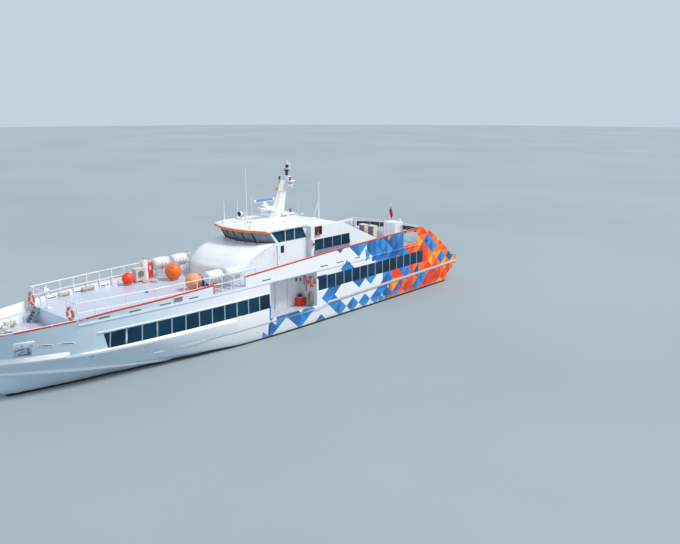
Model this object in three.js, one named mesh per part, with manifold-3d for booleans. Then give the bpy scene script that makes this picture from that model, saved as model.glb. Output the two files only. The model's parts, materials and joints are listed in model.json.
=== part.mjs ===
// Passenger ferry, a single fast hull with two decks. Millimetres, +X to the bow, +Y to port, +Z up.
// The origin is amidships on the centreline, in the plane of the water.
import * as THREE from 'three';
import { mergeVertices } from 'three/addons/utils/BufferGeometryUtils.js';
import Module from 'manifold-3d';

const wasm = await Module();
wasm.setup();

// Main sizes
const GAP = 0.3;                 // seat between two pieces that touch
const CLEAR = 8;                 // air round a piece that moves
const PLATE = 60;                // walls and bulwarks
const GLASS = 24;
const DECK_LOW = 1150;           // main deck forward and in the boarding recess
const DECK_AFT = 1600;           // raised main deck over the engine space
const DECK_BOW = 3000;           // sunken mooring deck at the bow
const UNDER_DECK = 3660;         // underside of the upper deck
const UPPER_DECK = 3780;
const STEM_WL = 16660;           // stem at the water
const STEM_SLOPE = 1.22;         // rise of the stem over its run
const STERN = -19800;
const STEP_X = 12900;            // forward end of the saloon
const FOREDECK_X = 13700;        // forward edge of the upper deck
const RECESS_FORE = 1350;
const RECESS_AFT = -2820;
const RECESS_IN = 1900;          // half width of the lobby between the two boarding recesses
const SALOON_AFT = -15400;
const DECK_END = -14600;         // aft edge of the upper deck
const GAP_FORE = 5600;           // open length of the side above the deck
const GAP_AFT = 3300;

// Lines of the hull. keel: height of the keel, chine: half breadth and height of the chine,
// side: half breadth at the low main deck, ledge: half breadth and height of the ledge under the windows,
// out: how far the ledge stands proud, top: half breadth under the upper deck.
const LINES = [
  { x: -19800, keel: -640, chineY: 3310, chineZ: -260, side: 3500, ledgeY: 3530, ledgeZ: 2000, out: 0, top: 3490 },
  { x: -16000, keel: -830, chineY: 3340, chineZ: -250, side: 3530, ledgeY: 3550, ledgeZ: 2000, out: 0, top: 3510 },
  { x: -11000, keel: -1090, chineY: 3340, chineZ: -240, side: 3530, ledgeY: 3545, ledgeZ: 2000, out: 0, top: 3510 },
  { x: -5000, keel: -1300, chineY: 3320, chineZ: -200, side: 3500, ledgeY: 3510, ledgeZ: 1950, out: 0, top: 3480 },
  { x: 0, keel: -1350, chineY: 3240, chineZ: -70, side: 3440, ledgeY: 3460, ledgeZ: 1850, out: 0, top: 3430 },
  { x: 3900, keel: -1350, chineY: 3040, chineZ: 120, side: 3320, ledgeY: 3410, ledgeZ: 1810, out: 0, top: 3380 },
  { x: 4150, keel: -1350, chineY: 3020, chineZ: 140, side: 3300, ledgeY: 3450, ledgeZ: 1815, out: 90, top: 3380 },
  { x: 6500, keel: -1340, chineY: 2750, chineZ: 330, side: 3065, ledgeY: 3335, ledgeZ: 1870, out: 110, top: 3275 },
  { x: 8500, keel: -1300, chineY: 2455, chineZ: 490, side: 2800, ledgeY: 3170, ledgeZ: 1910, out: 130, top: 3150 },
  { x: 10500, keel: -1220, chineY: 2100, chineZ: 650, side: 2420, ledgeY: 2940, ledgeZ: 1950, out: 140, top: 2980 },
  { x: 12900, keel: -1040, chineY: 1570, chineZ: 800, side: 1740, ledgeY: 2495, ledgeZ: 2000, out: 110, top: 2725 },
  { x: 13700, keel: -960, chineY: 1360, chineZ: 850, side: 1490, ledgeY: 2290, ledgeZ: 2030, out: 90, top: 2610 },
  { x: 15000, keel: -740, chineY: 980, chineZ: 990, side: 1040, ledgeY: 1890, ledgeZ: 2070, out: 70, top: 2360 },
  { x: 16000, keel: -440, chineY: 650, chineZ: 1110, side: 665, ledgeY: 1490, ledgeZ: 2100, out: 55, top: 2090 },
  { x: 17000, keel: 415, chineY: 330, chineZ: 1240, side: 300, ledgeY: 1000, ledgeZ: 2140, out: 40, top: 1700 },
  { x: 18000, keel: 1635, chineY: 0, chineZ: 1400, side: 0, ledgeY: 370, ledgeZ: 2180, out: 20, top: 1100 },
  { x: 18700, keel: 2490, chineY: 0, chineZ: 1400, side: 0, ledgeY: 0, ledgeZ: 2200, out: 0, top: 645 },
  { x: 19120, keel: 3001, chineY: 0, chineZ: 1400, side: 0, ledgeY: 0, ledgeZ: 2200, out: 0, top: 375 },
  { x: 19800, keel: 3831, chineY: 0, chineZ: 1400, side: 0, ledgeY: 0, ledgeZ: 2200, out: 0, top: 0 },
];
// Top edge of the sides, which carries the coloured stripe. y is the half breadth there.
const SHEER = [
  { x: -19800, z: 5200, y: 3440 }, { x: -14700, z: 5130, y: 3450 }, { x: -9600, z: 4980, y: 3445 },
  { x: -4300, z: 4820, y: 3430 }, { x: 3300, z: 4440, y: 3375 }, { x: 5600, z: 4360, y: 3325 },
  { x: 8600, z: 4220, y: 3190 }, { x: 10500, z: 4160, y: 3040 }, { x: 12100, z: 4110, y: 2890 },
  { x: 13700, z: 4000, y: 2730 }, { x: 15300, z: 3940, y: 2400 }, { x: 17000, z: 3850, y: 1860 },
  { x: 18300, z: 3820, y: 1180 }, { x: 19200, z: 3810, y: 560 }, { x: 19800, z: 3800, y: 20 },
];
// The side of the stern falls from the upper deck to the mooring deck along this line.
const STERN_WING = [
  { x: -14700, z: 5130 }, { x: -15600, z: 4780 }, { x: -16500, z: 4290 }, { x: -17400, z: 3640 },
  { x: -18250, z: 2940 }, { x: -19000, z: 2240 }, { x: STERN + 10, z: 2120 },
];

const at = (table, x, key) => {
  if (x <= table[0].x) return table[0][key];
  for (let i = 1; i < table.length; i++) {
    const a = table[i - 1], b = table[i];
    if (x <= b.x) return a[key] + (b[key] - a[key]) * (x - a.x) / (b.x - a.x);
  }
  return table[table.length - 1][key];
};
const line = (x, key) => at(LINES, x, key);
const sheer = (x, key) => at(SHEER, x, key);

// Solids
function weld(geometry) {
  const g = geometry.index ? geometry.toNonIndexed() : geometry.clone();
  g.deleteAttribute('normal');
  g.deleteAttribute('uv');
  return mergeVertices(g, 0.01);
}
function toSolid(geometry) {
  const g = weld(geometry);
  const p = g.attributes.position.array;
  const idx = Array.from(g.index.array);
  const tris = [];
  let volume = 0;
  for (let i = 0; i < idx.length; i += 3) {
    const [a, b, c] = [idx[i], idx[i + 1], idx[i + 2]];
    if (a === b || b === c || c === a) continue;
    tris.push(a, b, c);
    const [A, B, C] = [a, b, c].map((k) => new THREE.Vector3(p[3 * k], p[3 * k + 1], p[3 * k + 2]));
    volume += A.dot(B.cross(C));
  }
  if (volume < 0) for (let i = 0; i < tris.length; i += 3) [tris[i], tris[i + 1]] = [tris[i + 1], tris[i]];
  return new wasm.Manifold(new wasm.Mesh({
    numProp: 3, vertProperties: new Float32Array(p), triVerts: new Uint32Array(tris),
  }));
}
function toGeometry(s) {
  const m = s.getMesh();
  const g = new THREE.BufferGeometry();
  g.setAttribute('position', new THREE.BufferAttribute(new Float32Array(m.vertProperties), 3));
  g.setIndex(new THREE.BufferAttribute(new Uint32Array(m.triVerts), 1));
  g.computeVertexNormals();
  return g;
}
const join = (...parts) => parts.flat().reduce((a, b) => a.add(b));
const cut = (a, ...parts) => parts.flat().reduce((s, b) => s.subtract(b), a);
const box = (x0, x1, y0, y1, z0, z1) => toSolid(
  new THREE.BoxGeometry(x1 - x0, y1 - y0, z1 - z0).translate((x0 + x1) / 2, (y0 + y1) / 2, (z0 + z1) / 2));
function between(geometry, a, b) {
  const from = new THREE.Vector3(...a), to = new THREE.Vector3(...b);
  const q = new THREE.Quaternion().setFromUnitVectors(new THREE.Vector3(0, 1, 0), to.clone().sub(from).normalize());
  const m = from.clone().add(to).multiplyScalar(0.5);
  return geometry.applyQuaternion(q).translate(m.x, m.y, m.z);
}
const span = (a, b) => new THREE.Vector3(...a).distanceTo(new THREE.Vector3(...b));
const bar = (a, b, r, n = 6, r2 = r) => toSolid(between(new THREE.CylinderGeometry(r2, r, span(a, b), n), a, b));
const ball = (x, y, z, r, n = 16) => toSolid(new THREE.SphereGeometry(r, n, n / 2 + 2).translate(x, y, z));
// A flat outline pushed along one axis. y: outline in x and z, z: outline in x and y, x: outline in y and z.
function slab(outline, axis, from, to) {
  const shape = new THREE.Shape(outline.map(([u, v]) => new THREE.Vector2(u, v)));
  const g = new THREE.ExtrudeGeometry(shape, { depth: to - from, bevelEnabled: false, curveSegments: 1 });
  const m = new THREE.Matrix4();
  if (axis === 'z') m.set(1, 0, 0, 0, 0, 1, 0, 0, 0, 0, 1, from, 0, 0, 0, 1);
  if (axis === 'y') m.set(1, 0, 0, 0, 0, 0, 1, from, 0, 1, 0, 0, 0, 0, 0, 1);
  if (axis === 'x') m.set(0, 0, 1, from, 1, 0, 0, 0, 0, 1, 0, 0, 0, 0, 0, 1);
  return toSolid(g.applyMatrix4(m));
}
// A skin through closed loops of equally many points, closed at both ends.
function loft(rings) {
  const n = rings[0].length;
  const pos = [];
  const tri = (a, b, c) => pos.push(...a, ...b, ...c);
  for (let i = 0; i + 1 < rings.length; i++) {
    for (let j = 0; j < n; j++) {
      const k = (j + 1) % n;
      tri(rings[i][j], rings[i + 1][j], rings[i + 1][k]);
      tri(rings[i][j], rings[i + 1][k], rings[i][k]);
    }
  }
  for (const [ring, flip] of [[rings[0], false], [rings[rings.length - 1], true]]) {
    const spread = [0, 1, 2].map((k) => Math.max(...ring.map((p) => p[k])) - Math.min(...ring.map((p) => p[k])));
    const drop = spread.indexOf(Math.min(...spread));
    const [u, v] = [0, 1, 2].filter((k) => k !== drop);
    const keep = ring.filter((p, i) => {
      const q = ring[(i + 1) % n];
      return Math.abs(p[0] - q[0]) + Math.abs(p[1] - q[1]) + Math.abs(p[2] - q[2]) > 0.02;
    });
    if (keep.length < 3) continue;
    const flat = keep.map((p) => new THREE.Vector2(p[u], p[v]));
    const faces = THREE.ShapeUtils.triangulateShape(flat, []);
    const turned = THREE.ShapeUtils.isClockWise(flat);
    for (const [a, b, c] of faces) {
      const f = turned ? [a, c, b] : [a, b, c];
      if (flip) tri(keep[f[0]], keep[f[2]], keep[f[1]]);
      else tri(keep[f[0]], keep[f[1]], keep[f[2]]);
    }
  }
  const g = new THREE.BufferGeometry();
  g.setAttribute('position', new THREE.BufferAttribute(new Float32Array(pos), 3));
  return toSolid(g);
}
const mirrored = (s) => s.mirror([0, 1, 0]);
const both = (s) => join(s, mirrored(s));

// Hull
function halfSection(x, topZ) {
  const r = { keel: line(x, 'keel'), chineY: line(x, 'chineY'), chineZ: line(x, 'chineZ') };
  const side = line(x, 'side'), ledgeY = line(x, 'ledgeY'), ledgeZ = line(x, 'ledgeZ');
  const out = line(x, 'out'), top = line(x, 'top');
  const mix = (a, b, t) => a + (b - a) * t;
  const wall = ledgeY - out;
  const levels = [
    [0, r.keel],
    [r.chineY * 0.52, mix(r.keel, r.chineZ, 0.5)],
    [r.chineY, r.chineZ],
    [r.chineY + 45, r.chineZ + 30],
    [mix(r.chineY, side, 0.35) , r.chineZ + 110],
    [side, DECK_LOW],
    [mix(side, ledgeY, (DECK_AFT - DECK_LOW) / (ledgeZ - DECK_LOW)), DECK_AFT],
    [ledgeY, ledgeZ - 110],
    [ledgeY, ledgeZ],
    [wall, ledgeZ + 8],
    [mix(wall, top, (DECK_BOW - ledgeZ) / (UNDER_DECK - ledgeZ)), DECK_BOW],
    [top, UNDER_DECK],
  ];
  let edge = null;
  const points = levels.map(([y, z], i) => {
    if (z > topZ + 0.01) {
      if (!edge) {
        const [y0, z0] = levels[i - 1];
        edge = [z0 >= topZ ? y0 : mix(y0, y, (topZ - z0) / (z - z0)), topZ];
      }
      return edge;
    }
    return [y, z];
  });
  return points.map(([y, z]) => [z <= r.keel ? 0 : Math.max(y, 0), Math.max(z, Math.min(r.keel, topZ))]);
}
function section(x, topZ) {
  const half = halfSection(x, topZ);
  const port = half.map(([y, z]) => [x, y, z]);
  const starboard = half.slice(1).reverse().map(([y, z]) => [x, -y, z]);
  return [...port, ...starboard];
}
const HULL_STATIONS = [
  [STERN, DECK_AFT], [-16000, DECK_AFT], [-11000, DECK_AFT], [-7000, DECK_AFT],
  [RECESS_AFT, DECK_AFT], [RECESS_AFT, DECK_LOW], [0, DECK_LOW], [3900, DECK_LOW], [6500, DECK_LOW],
  [8500, DECK_LOW], [10500, DECK_LOW], [STEP_X, DECK_LOW], [STEP_X, UNDER_DECK], [FOREDECK_X, UNDER_DECK],
  [FOREDECK_X, DECK_BOW], [15000, DECK_BOW], [16000, DECK_BOW], [16660, DECK_BOW], [17000, DECK_BOW],
  [17500, DECK_BOW], [18000, DECK_BOW], [18350, DECK_BOW], [18700, DECK_BOW], [19119, DECK_BOW],
];
const hullBody = loft(HULL_STATIONS.map(([x, z]) => section(x, z)));
// The transom leans forward at the foot and carries a counter over the rudders.
const transomAir = slab([[-21000, -3000], [-18120, -3000], [-18380, 0], [-18700, 660], [STERN + 40, 1420],
  [-21000, 1420]], 'y', -5000, 5000);
// Rubbing rail. It jogs up beside the raised deck.
const RAIL = [
  { x: STERN + 10, z: 1560 }, { x: -12100, z: 1440 }, { x: -4100, z: 1270 }, { x: -3000, z: 1035 },
  { x: 6700, z: 1035 }, { x: 9500, z: 1060 },
];
const shellAt = (x, z) => {
  const half = halfSection(x, UNDER_DECK);
  for (let i = 1; i < half.length; i++) {
    const [y0, z0] = half[i - 1], [y1, z1] = half[i];
    if (z <= z1 && z1 > z0) return y0 + (y1 - y0) * (z - z0) / (z1 - z0);
  }
  return half[half.length - 1][0];
};
const RAIL_OUT = 75, RAIL_HALF = 50;
const rubRail = loft(RAIL.map(({ x, z }) => {
  const y = shellAt(x, z);
  return [[x, y - 60, z - RAIL_HALF - 20], [x, y + RAIL_OUT, z - RAIL_HALF + 20], [x, y + RAIL_OUT, z + RAIL_HALF - 20],
    [x, y - 60, z + RAIL_HALF - 10]];
}));
// Shafts, brackets and rudder trunks under the stern
const SHAFT_Y = 1500;
const SHAFT = { x0: -10000, z0: -520, x1: -17100, z1: -1290 };
const shaftZ = (x) => SHAFT.z0 + (SHAFT.z1 - SHAFT.z0) * (x - SHAFT.x0) / (SHAFT.x1 - SHAFT.x0);
const onShaft = (x) => [x, SHAFT_Y, shaftZ(x)];
const SHAFT_R = 50, TUBE_R = 110, BRACKET_X = -15900;
const RUDDER_X = -17560, RUDDER_TOP = -625, STOCK_R = 55;
const bracket = join(
  bar(onShaft(BRACKET_X + 220), onShaft(BRACKET_X - 220), TUBE_R, 16),
  loft([[[BRACKET_X + 150, 2150, -300], [BRACKET_X - 150, 2150, -300], [BRACKET_X - 150, 2200, -300], [BRACKET_X + 150, 2200, -300]],
    [[BRACKET_X + 110, SHAFT_Y + 60, shaftZ(BRACKET_X) + 20], [BRACKET_X - 110, SHAFT_Y + 60, shaftZ(BRACKET_X) + 20],
      [BRACKET_X - 110, SHAFT_Y + 90, shaftZ(BRACKET_X) - 10], [BRACKET_X + 110, SHAFT_Y + 90, shaftZ(BRACKET_X) - 10]]]),
  loft([[[BRACKET_X + 150, 800, -400], [BRACKET_X - 150, 800, -400], [BRACKET_X - 150, 850, -400], [BRACKET_X + 150, 850, -400]],
    [[BRACKET_X + 110, SHAFT_Y - 90, shaftZ(BRACKET_X) - 10], [BRACKET_X - 110, SHAFT_Y - 90, shaftZ(BRACKET_X) - 10],
      [BRACKET_X - 110, SHAFT_Y - 60, shaftZ(BRACKET_X) + 20], [BRACKET_X + 110, SHAFT_Y - 60, shaftZ(BRACKET_X) + 20]]]));
const sternTube = bar(onShaft(-9600), onShaft(-12600), TUBE_R, 16);
const rudderTrunk = bar([RUDDER_X, SHAFT_Y, -300], [RUDDER_X, SHAFT_Y, RUDDER_TOP + CLEAR], 150, 16);
const BORE_END = -12300, PROP_X = -16850;
const shaftBore = bar(onShaft(BORE_END), onShaft(-17000), SHAFT_R + CLEAR, 16);
const stockBore = bar([RUDDER_X, SHAFT_Y, RUDDER_TOP + 200], [RUDDER_X, SHAFT_Y, RUDDER_TOP - 100], STOCK_R + CLEAR, 16);
// Keel fin
const keelFin = slab([[-9000, -1000], [-8600, -1330], [8800, -1460], [11500, -1300], [11500, -900]], 'y', -55, 55);
// Bitts on the mooring decks
const bitt = (x, y, z) => join(
  box(x - 260, x + 260, y - 90, y + 90, z - 20, z + 30),
  bar([x - 150, y, z], [x - 150, y, z + 330], 62, 12), bar([x + 150, y, z], [x + 150, y, z + 330], 62, 12),
  bar([x - 250, y, z + 230], [x + 250, y, z + 230], 28, 8));
const sternDeckBitts = both(bitt(-18700, 2780, DECK_AFT));
const bowBitts = both(bitt(15600, 1450, DECK_BOW));
const ANCHOR_POCKET = { x0: 15750, x1: 16550, y: 1300, z0: 2430, z1: 2890 };
const anchorPocket = slab([[ANCHOR_POCKET.x0, ANCHOR_POCKET.z0], [ANCHOR_POCKET.x1, ANCHOR_POCKET.z0 + 40],
  [ANCHOR_POCKET.x1, ANCHOR_POCKET.z1], [ANCHOR_POCKET.x0 + 60, ANCHOR_POCKET.z1]], 'y', ANCHOR_POCKET.y, 3000);
const HATCH = { x0: 17050, x1: 17750, y: 320 };
const hatchCoaming = cut(box(HATCH.x0, HATCH.x1, -HATCH.y, HATCH.y, DECK_BOW - 30, DECK_BOW + 260),
  box(HATCH.x0 + 50, HATCH.x1 - 50, -HATCH.y + 50, HATCH.y - 50, DECK_BOW - 200, DECK_BOW + 400));
const hatchWell = box(HATCH.x0 + 50, HATCH.x1 - 50, -HATCH.y + 50, HATCH.y - 50, DECK_BOW - 500, DECK_BOW + 100);
const hullShell = cut(
  join(cut(join(hullBody, both(rubRail)), transomAir), both(join(bracket, sternTube, rudderTrunk)), keelFin,
    sternDeckBitts, bowBitts, hatchCoaming),
  both(shaftBore), both(stockBore), both(anchorPocket), hatchWell);
const hull = join(hullShell, both(anchor()), both(recessCoaming()));

// Sides of the main deck house
function wallRing(x, foot) {
  const side = shellAt(x, foot), ledgeY = line(x, 'ledgeY'), ledgeZ = line(x, 'ledgeZ');
  const out = line(x, 'out'), top = line(x, 'top');
  const wall = ledgeY - out;
  const z0 = foot + GAP, z1 = UNDER_DECK - GAP;
  return [[x, side, z0], [x, ledgeY, ledgeZ - 110], [x, ledgeY, ledgeZ], [x, wall, ledgeZ + 8], [x, top, z1],
    [x, top - PLATE, z1], [x, wall - PLATE, ledgeZ + 8], [x, side - PLATE, z0]];
}
const FORE_WINDOWS = { x0: 1390, pitch: 887, count: 12, bar: 95, sill: 2060, head: 2930 };
const AFT_WINDOWS = { x0: -14930, pitch: 856, count: 14, bar: 85, sill: 2315, head: 3190 };
// Each window row has its panes side by side; the forward row ends in a pointed pane.
function windowCuts(w) {
  const cuts = [];
  for (let i = 0; i < w.count; i++) {
    const x = w.x0 + i * w.pitch;
    cuts.push(box(x + w.bar / 2, x + w.pitch - w.bar / 2, 2000, 4000, w.sill, w.head));
  }
  return cuts;
}
const POINT_X = FORE_WINDOWS.x0 + FORE_WINDOWS.count * FORE_WINDOWS.pitch;
const pointedPane = slab([[POINT_X + 45, 2060], [POINT_X + 90, 2060], [POINT_X + 306, 2900], [POINT_X + 45, 2900]],
  'y', 2000, 4000);
const foreStations = [RECESS_FORE, 3900, 4150, 6500, 8500, 10500, STEP_X - GAP];
const foreWallSolid = loft(foreStations.map((x) => wallRing(x, DECK_LOW)));
const foreWall = cut(foreWallSolid, windowCuts(FORE_WINDOWS), pointedPane);
const aftStations = [STERN + 20, -16000, -11000, -7000, RECESS_AFT - GAP];
const aftWallSolid = loft(aftStations.map((x) => wallRing(x, DECK_AFT)));
const wingAir = slab([...STERN_WING.map((p) => [p.x, p.z]), [-21000, 2120], [-21000, 7000], [-14700, 7000]],
  'y', -5000, 5000);
const aftWall = cut(aftWallSolid, windowCuts(AFT_WINDOWS), wingAir);
// Glass bands lie against the inside of the walls
function glassBand(stations, z0, z1) {
  return loft(stations.map((x) => {
    const ledgeY = line(x, 'ledgeY') - line(x, 'out'), ledgeZ = line(x, 'ledgeZ') + 8, top = line(x, 'top');
    const y = (z) => ledgeY + (top - ledgeY) * (z - ledgeZ) / (UNDER_DECK - ledgeZ) - PLATE + 6;
    return [[x, y(z0), z0], [x, y(z1), z1], [x, y(z1) - GLASS - 6, z1], [x, y(z0) - GLASS - 6, z0]];
  }));
}
const seated = (band, wall) => cut(band, wall.translate([0, -GAP, 0]));
const foreGlass = seated(glassBand([1430, 3900, 4150, 6500, 8500, 10500, 12500], 2030, 2960), foreWallSolid);
const aftGlass = seated(glassBand([-15010, -11000, -7000, -2910], 2285, 3220), aftWallSolid);

// Cross bulkheads with a doorway in the middle
function bulkhead(x0, x1, foot, sideX, doorY, doorHead) {
  const z1 = UNDER_DECK - GAP, z0 = foot + GAP;
  const inY = (z) => {
    const wall = line(sideX, 'ledgeY') - line(sideX, 'out'), ledgeZ = line(sideX, 'ledgeZ'), top = line(sideX, 'top');
    const side = shellAt(sideX, foot);
    const y = z <= ledgeZ ? side + (wall - side) * (z - foot) / (ledgeZ - foot)
      : wall + (top - wall) * (z - ledgeZ) / (UNDER_DECK - ledgeZ);
    return y - PLATE - 3;
  };
  const zs = [z0, line(sideX, 'ledgeZ'), z1];
  const port = zs.map((z) => [inY(z), z]);
  const outline = [...port, ...port.slice().reverse().map(([y, z]) => [-y, z])];
  return cut(slab(outline, 'x', x0, x1), box(x0 - 100, x1 + 100, -doorY, doorY, foot - 100, doorHead));
}
const DOORWAY = 450;
const foreBulkhead = bulkhead(RECESS_FORE + GAP, RECESS_FORE + PLATE, DECK_LOW, RECESS_FORE + 30, DOORWAY, 3150);
const midBulkhead = bulkhead(RECESS_AFT - PLATE, RECESS_AFT - GAP, DECK_AFT, RECESS_AFT - 30, DOORWAY, 3600);
const STERN_DOOR = { y0: -400, y1: 400, head: 3500 };
const sternPlate = bulkhead(SALOON_AFT - PLATE, SALOON_AFT, DECK_AFT, SALOON_AFT, STERN_DOOR.y1 + CLEAR, STERN_DOOR.head + CLEAR);
// Lobby walls at the inner side of each boarding recess, with a boarding door
const BOARD_DOOR = { x0: -1500, x1: -300, head: 3200 };
const lobbyWall = cut(
  box(RECESS_AFT - PLATE + 10, RECESS_FORE + PLATE - 10, RECESS_IN, RECESS_IN + PLATE, DECK_LOW + GAP, UNDER_DECK - GAP),
  box(BOARD_DOOR.x0 + 60, BOARD_DOOR.x1 - 60, RECESS_IN - 200, RECESS_IN + 200, DECK_LOW - 50, BOARD_DOOR.head - 60));
const boardTrack = box(BOARD_DOOR.x0 - 40, 900, RECESS_IN + PLATE - 10, RECESS_IN + PLATE + CLEAR + 55,
  DECK_LOW + GAP, DECK_LOW + 20 - GAP);
const lobbyWalls = join(foreBulkhead, midBulkhead, both(boardTrack), both(cut(lobbyWall,
  box(RECESS_AFT - 200, RECESS_AFT + GAP, 0, 4000, 0, DECK_AFT + GAP))));
const boardDoor = box(BOARD_DOOR.x0, BOARD_DOOR.x1, RECESS_IN + PLATE + CLEAR, RECESS_IN + PLATE + CLEAR + 45,
  DECK_LOW + 20, BOARD_DOOR.head);
const HINGE = { x: SALOON_AFT - PLATE - 20, y: STERN_DOOR.y1 + 4, r: 18, seat: DECK_AFT + 12 };
const sternDoor = join(
  box(SALOON_AFT - PLATE + 5, SALOON_AFT - 5, STERN_DOOR.y0, STERN_DOOR.y1, DECK_AFT + 20, STERN_DOOR.head),
  box(HINGE.x, SALOON_AFT - 20, STERN_DOOR.y1 - 60, STERN_DOOR.y1, DECK_AFT + 60, STERN_DOOR.head - 40),
  bar([HINGE.x, HINGE.y, HINGE.seat + GAP], [HINGE.x, HINGE.y, STERN_DOOR.head - 20], HINGE.r, 12));
const hingeFoot = box(HINGE.x - 25, SALOON_AFT - PLATE + 20, HINGE.y + 6, HINGE.y + 60, DECK_AFT + GAP, HINGE.seat);
const hingePad = box(HINGE.x - 25, HINGE.x + 16, HINGE.y - 25, HINGE.y + 30, DECK_AFT + GAP, HINGE.seat);
const sternBulkhead = join(sternPlate, hingeFoot, hingePad);
// A low coaming closes the outer side of the recess
function recessCoaming() {
  return loft([RECESS_AFT + GAP, RECESS_FORE - GAP].map((x) => {
    const y = shellAt(x, DECK_LOW);
    return [[x, y - 50, DECK_LOW - 20], [x, y - 3, DECK_LOW - 20], [x, y - 3, DECK_LOW + 160], [x, y - 50, DECK_LOW + 160]];
  }));
}

// Upper deck
const STRAKE = 45;
function deckOutline(stations, grow) {
  const port = stations.map((x) => [x, line(x, 'top') + grow]);
  return [...port, ...port.slice().reverse().map(([x, y]) => [x, -y])];
}
const deckStations = [DECK_END, -11000, -5000, 0, 3900, 6500, 8500, 10500, STEP_X, FOREDECK_X];
const upperDeck = slab(deckOutline(deckStations, STRAKE), 'z', UNDER_DECK, UPPER_DECK);

// Raised sides over the upper deck, with the coloured stripe along the top
function fasciaRing(x, z0) {
  const top = sheer(x, 'z'), y1 = sheer(x, 'y');
  const y0 = line(x, 'top');
  return [[x, y0, z0], [x, y1, top], [x, y1 - PLATE, top], [x, y0 - PLATE, z0]];
}
const slot = (x0, x1, up) => box(x0, x1, 2000, 4000, UPPER_DECK + up, UPPER_DECK + up + 70);
const SLOTS_FORE = [[12050, 12650], [10300, 10980], [8500, 9200], [6720, 7350]];
const SLOTS_AFT = [[1300, 2000], [-3900, -3200], [-5500, -4800], [-7300, -6700], [-10500, -9900], [-12300, -11800]];
const fasciaFore = cut(
  loft([GAP_FORE, 8600, 10500, 12100, FOREDECK_X - GAP].map((x) => fasciaRing(x, UPPER_DECK + GAP))),
  SLOTS_FORE.map(([a, b]) => slot(a, b, 30)));
const SIDE_PORT = { x0: -14230, x1: -12400, z0: 3980, z1: 4900 };
const fasciaAft = cut(
  loft([-18000, -14700, -9600, -4300, 0, GAP_AFT].map((x) => fasciaRing(x, UNDER_DECK))),
  wingAir, box(DECK_END - GAP, GAP_AFT + 100, 2000, 4000, UNDER_DECK - 100, UPPER_DECK + GAP),
  slab([[SIDE_PORT.x0, SIDE_PORT.z0], [SIDE_PORT.x1, SIDE_PORT.z0 - 40], [SIDE_PORT.x1, SIDE_PORT.z1 - 60],
    [SIDE_PORT.x0, SIDE_PORT.z1]], 'y', 2000, 4000),
  SLOTS_AFT.map(([a, b]) => slot(a, b, 70)));
// Cross bulwark at the aft end of the upper deck, with three louvred openings
const crossPlate = cut(
  slab([[-3425, UPPER_DECK + GAP], [3425, UPPER_DECK + GAP], [3380, 5080], [-3380, 5080]], 'x',
    DECK_END + 5, DECK_END + 65),
  [[-3150, -1650], [-1500, 0], [2150, 3150]].map(([a, b]) => box(DECK_END - 100, DECK_END + 200, a, b, 4350, 4950)));
// Bulwark round the bow
function bowRing(x, inset, z0, z1) {
  const y = (z) => {
    const t = (z - UNDER_DECK) / (sheer(x, 'z') - UNDER_DECK);
    const low = shellAt(x, Math.min(z, UNDER_DECK - 1)), high = sheer(x, 'y');
    return Math.max((z < UNDER_DECK ? low : line(x, 'top') + (high - line(x, 'top')) * t) - inset, 0.5);
  };
  const zs = [z0, UNDER_DECK, z1];
  return [...zs.map((z) => [x, y(z), z]), ...zs.slice().reverse().map((z) => [x, -y(z), z])];
}
const bowStations = [FOREDECK_X + GAP, 15000, 16000, 17000, 18000, 18700, 19100];
const bowOuter = loft([...bowStations.map((x) => bowRing(x, 0, DECK_BOW + GAP, sheer(x, 'z'))),
  ...[19450, 19780].map((x) => {
    const z0 = (x - STEM_WL) * STEM_SLOPE, z1 = sheer(x, 'z'), y1 = sheer(x, 'y');
    const low = Math.min(z0, z1 - 40), mid = (low + z1) / 2;
    return [[x, 2, low], [x, y1 * 0.6 + 1, mid], [x, y1 + 2, z1], [x, -y1 - 2, z1], [x, -y1 * 0.6 - 1, mid], [x, -2, low]];
  })]);
const bowInner = loft([FOREDECK_X - 50, 15000, 16000, 17000, 18000, 18700, 19100].map((x) => {
  const s = Math.max(x, FOREDECK_X);
  const r = bowRing(s, 70, DECK_BOW + GAP, sheer(s, 'z'));
  return [[x, r[0][1], DECK_BOW - 200], ...r.slice(0, 3).map(([, y, z]) => [x, y, z]), [x, r[2][1], 4600],
    [x, -r[2][1], 4600], ...r.slice(3).map(([, y, z]) => [x, y, z]), [x, r[5][1], DECK_BOW - 200]];
}));
const bowBulwark = cut(bowOuter, bowInner);

// Rails
const RAIL_R = 24, RAIL_HIGH = 1000;
function railRun(points, foot, posts, mids = [0.5]) {
  const parts = [];
  const top = (p) => [p[0], p[1], p[2] + RAIL_HIGH];
  for (let i = 0; i + 1 < points.length; i++) {
    for (const f of [1, ...mids]) {
      const lift = (p) => [p[0], p[1], p[2] + RAIL_HIGH * f];
      parts.push(bar(lift(points[i]), lift(points[i + 1]), f === 1 ? RAIL_R : RAIL_R * 0.7, 6));
    }
  }
  for (const p of posts) parts.push(bar([p[0], p[1], foot], [p[0], p[1], top(p)[2] + 4], RAIL_R, 6));
  return parts;
}
const railY = (x) => Math.min(sheer(x, 'y'), line(x, 'top') + 20) - 120;
const RAIL_X = [2400, 3260, 4120, 4980, 5840, 6700, 7560, 8420, 9280, 10140, 11000, 11860, 12720, 13640];
const portRail = RAIL_X.map((x) => [x, railY(x), UPPER_DECK]);
const frontPosts = [-2250, -1500, 1500, 2250].map((y) => [13640, y, UPPER_DECK]);
const railParts = [
  ...railRun(portRail, UPPER_DECK + GAP, portRail),
  ...railRun(portRail.map(([x, y, z]) => [x, -y, z]), UPPER_DECK + GAP, portRail.map(([x, y, z]) => [x, -y, z])),
  ...railRun([[13640, railY(13640), UPPER_DECK], [13640, -railY(13640), UPPER_DECK]], UPPER_DECK + GAP, frontPosts),
];
const foredeckRails = join(railParts);

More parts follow.
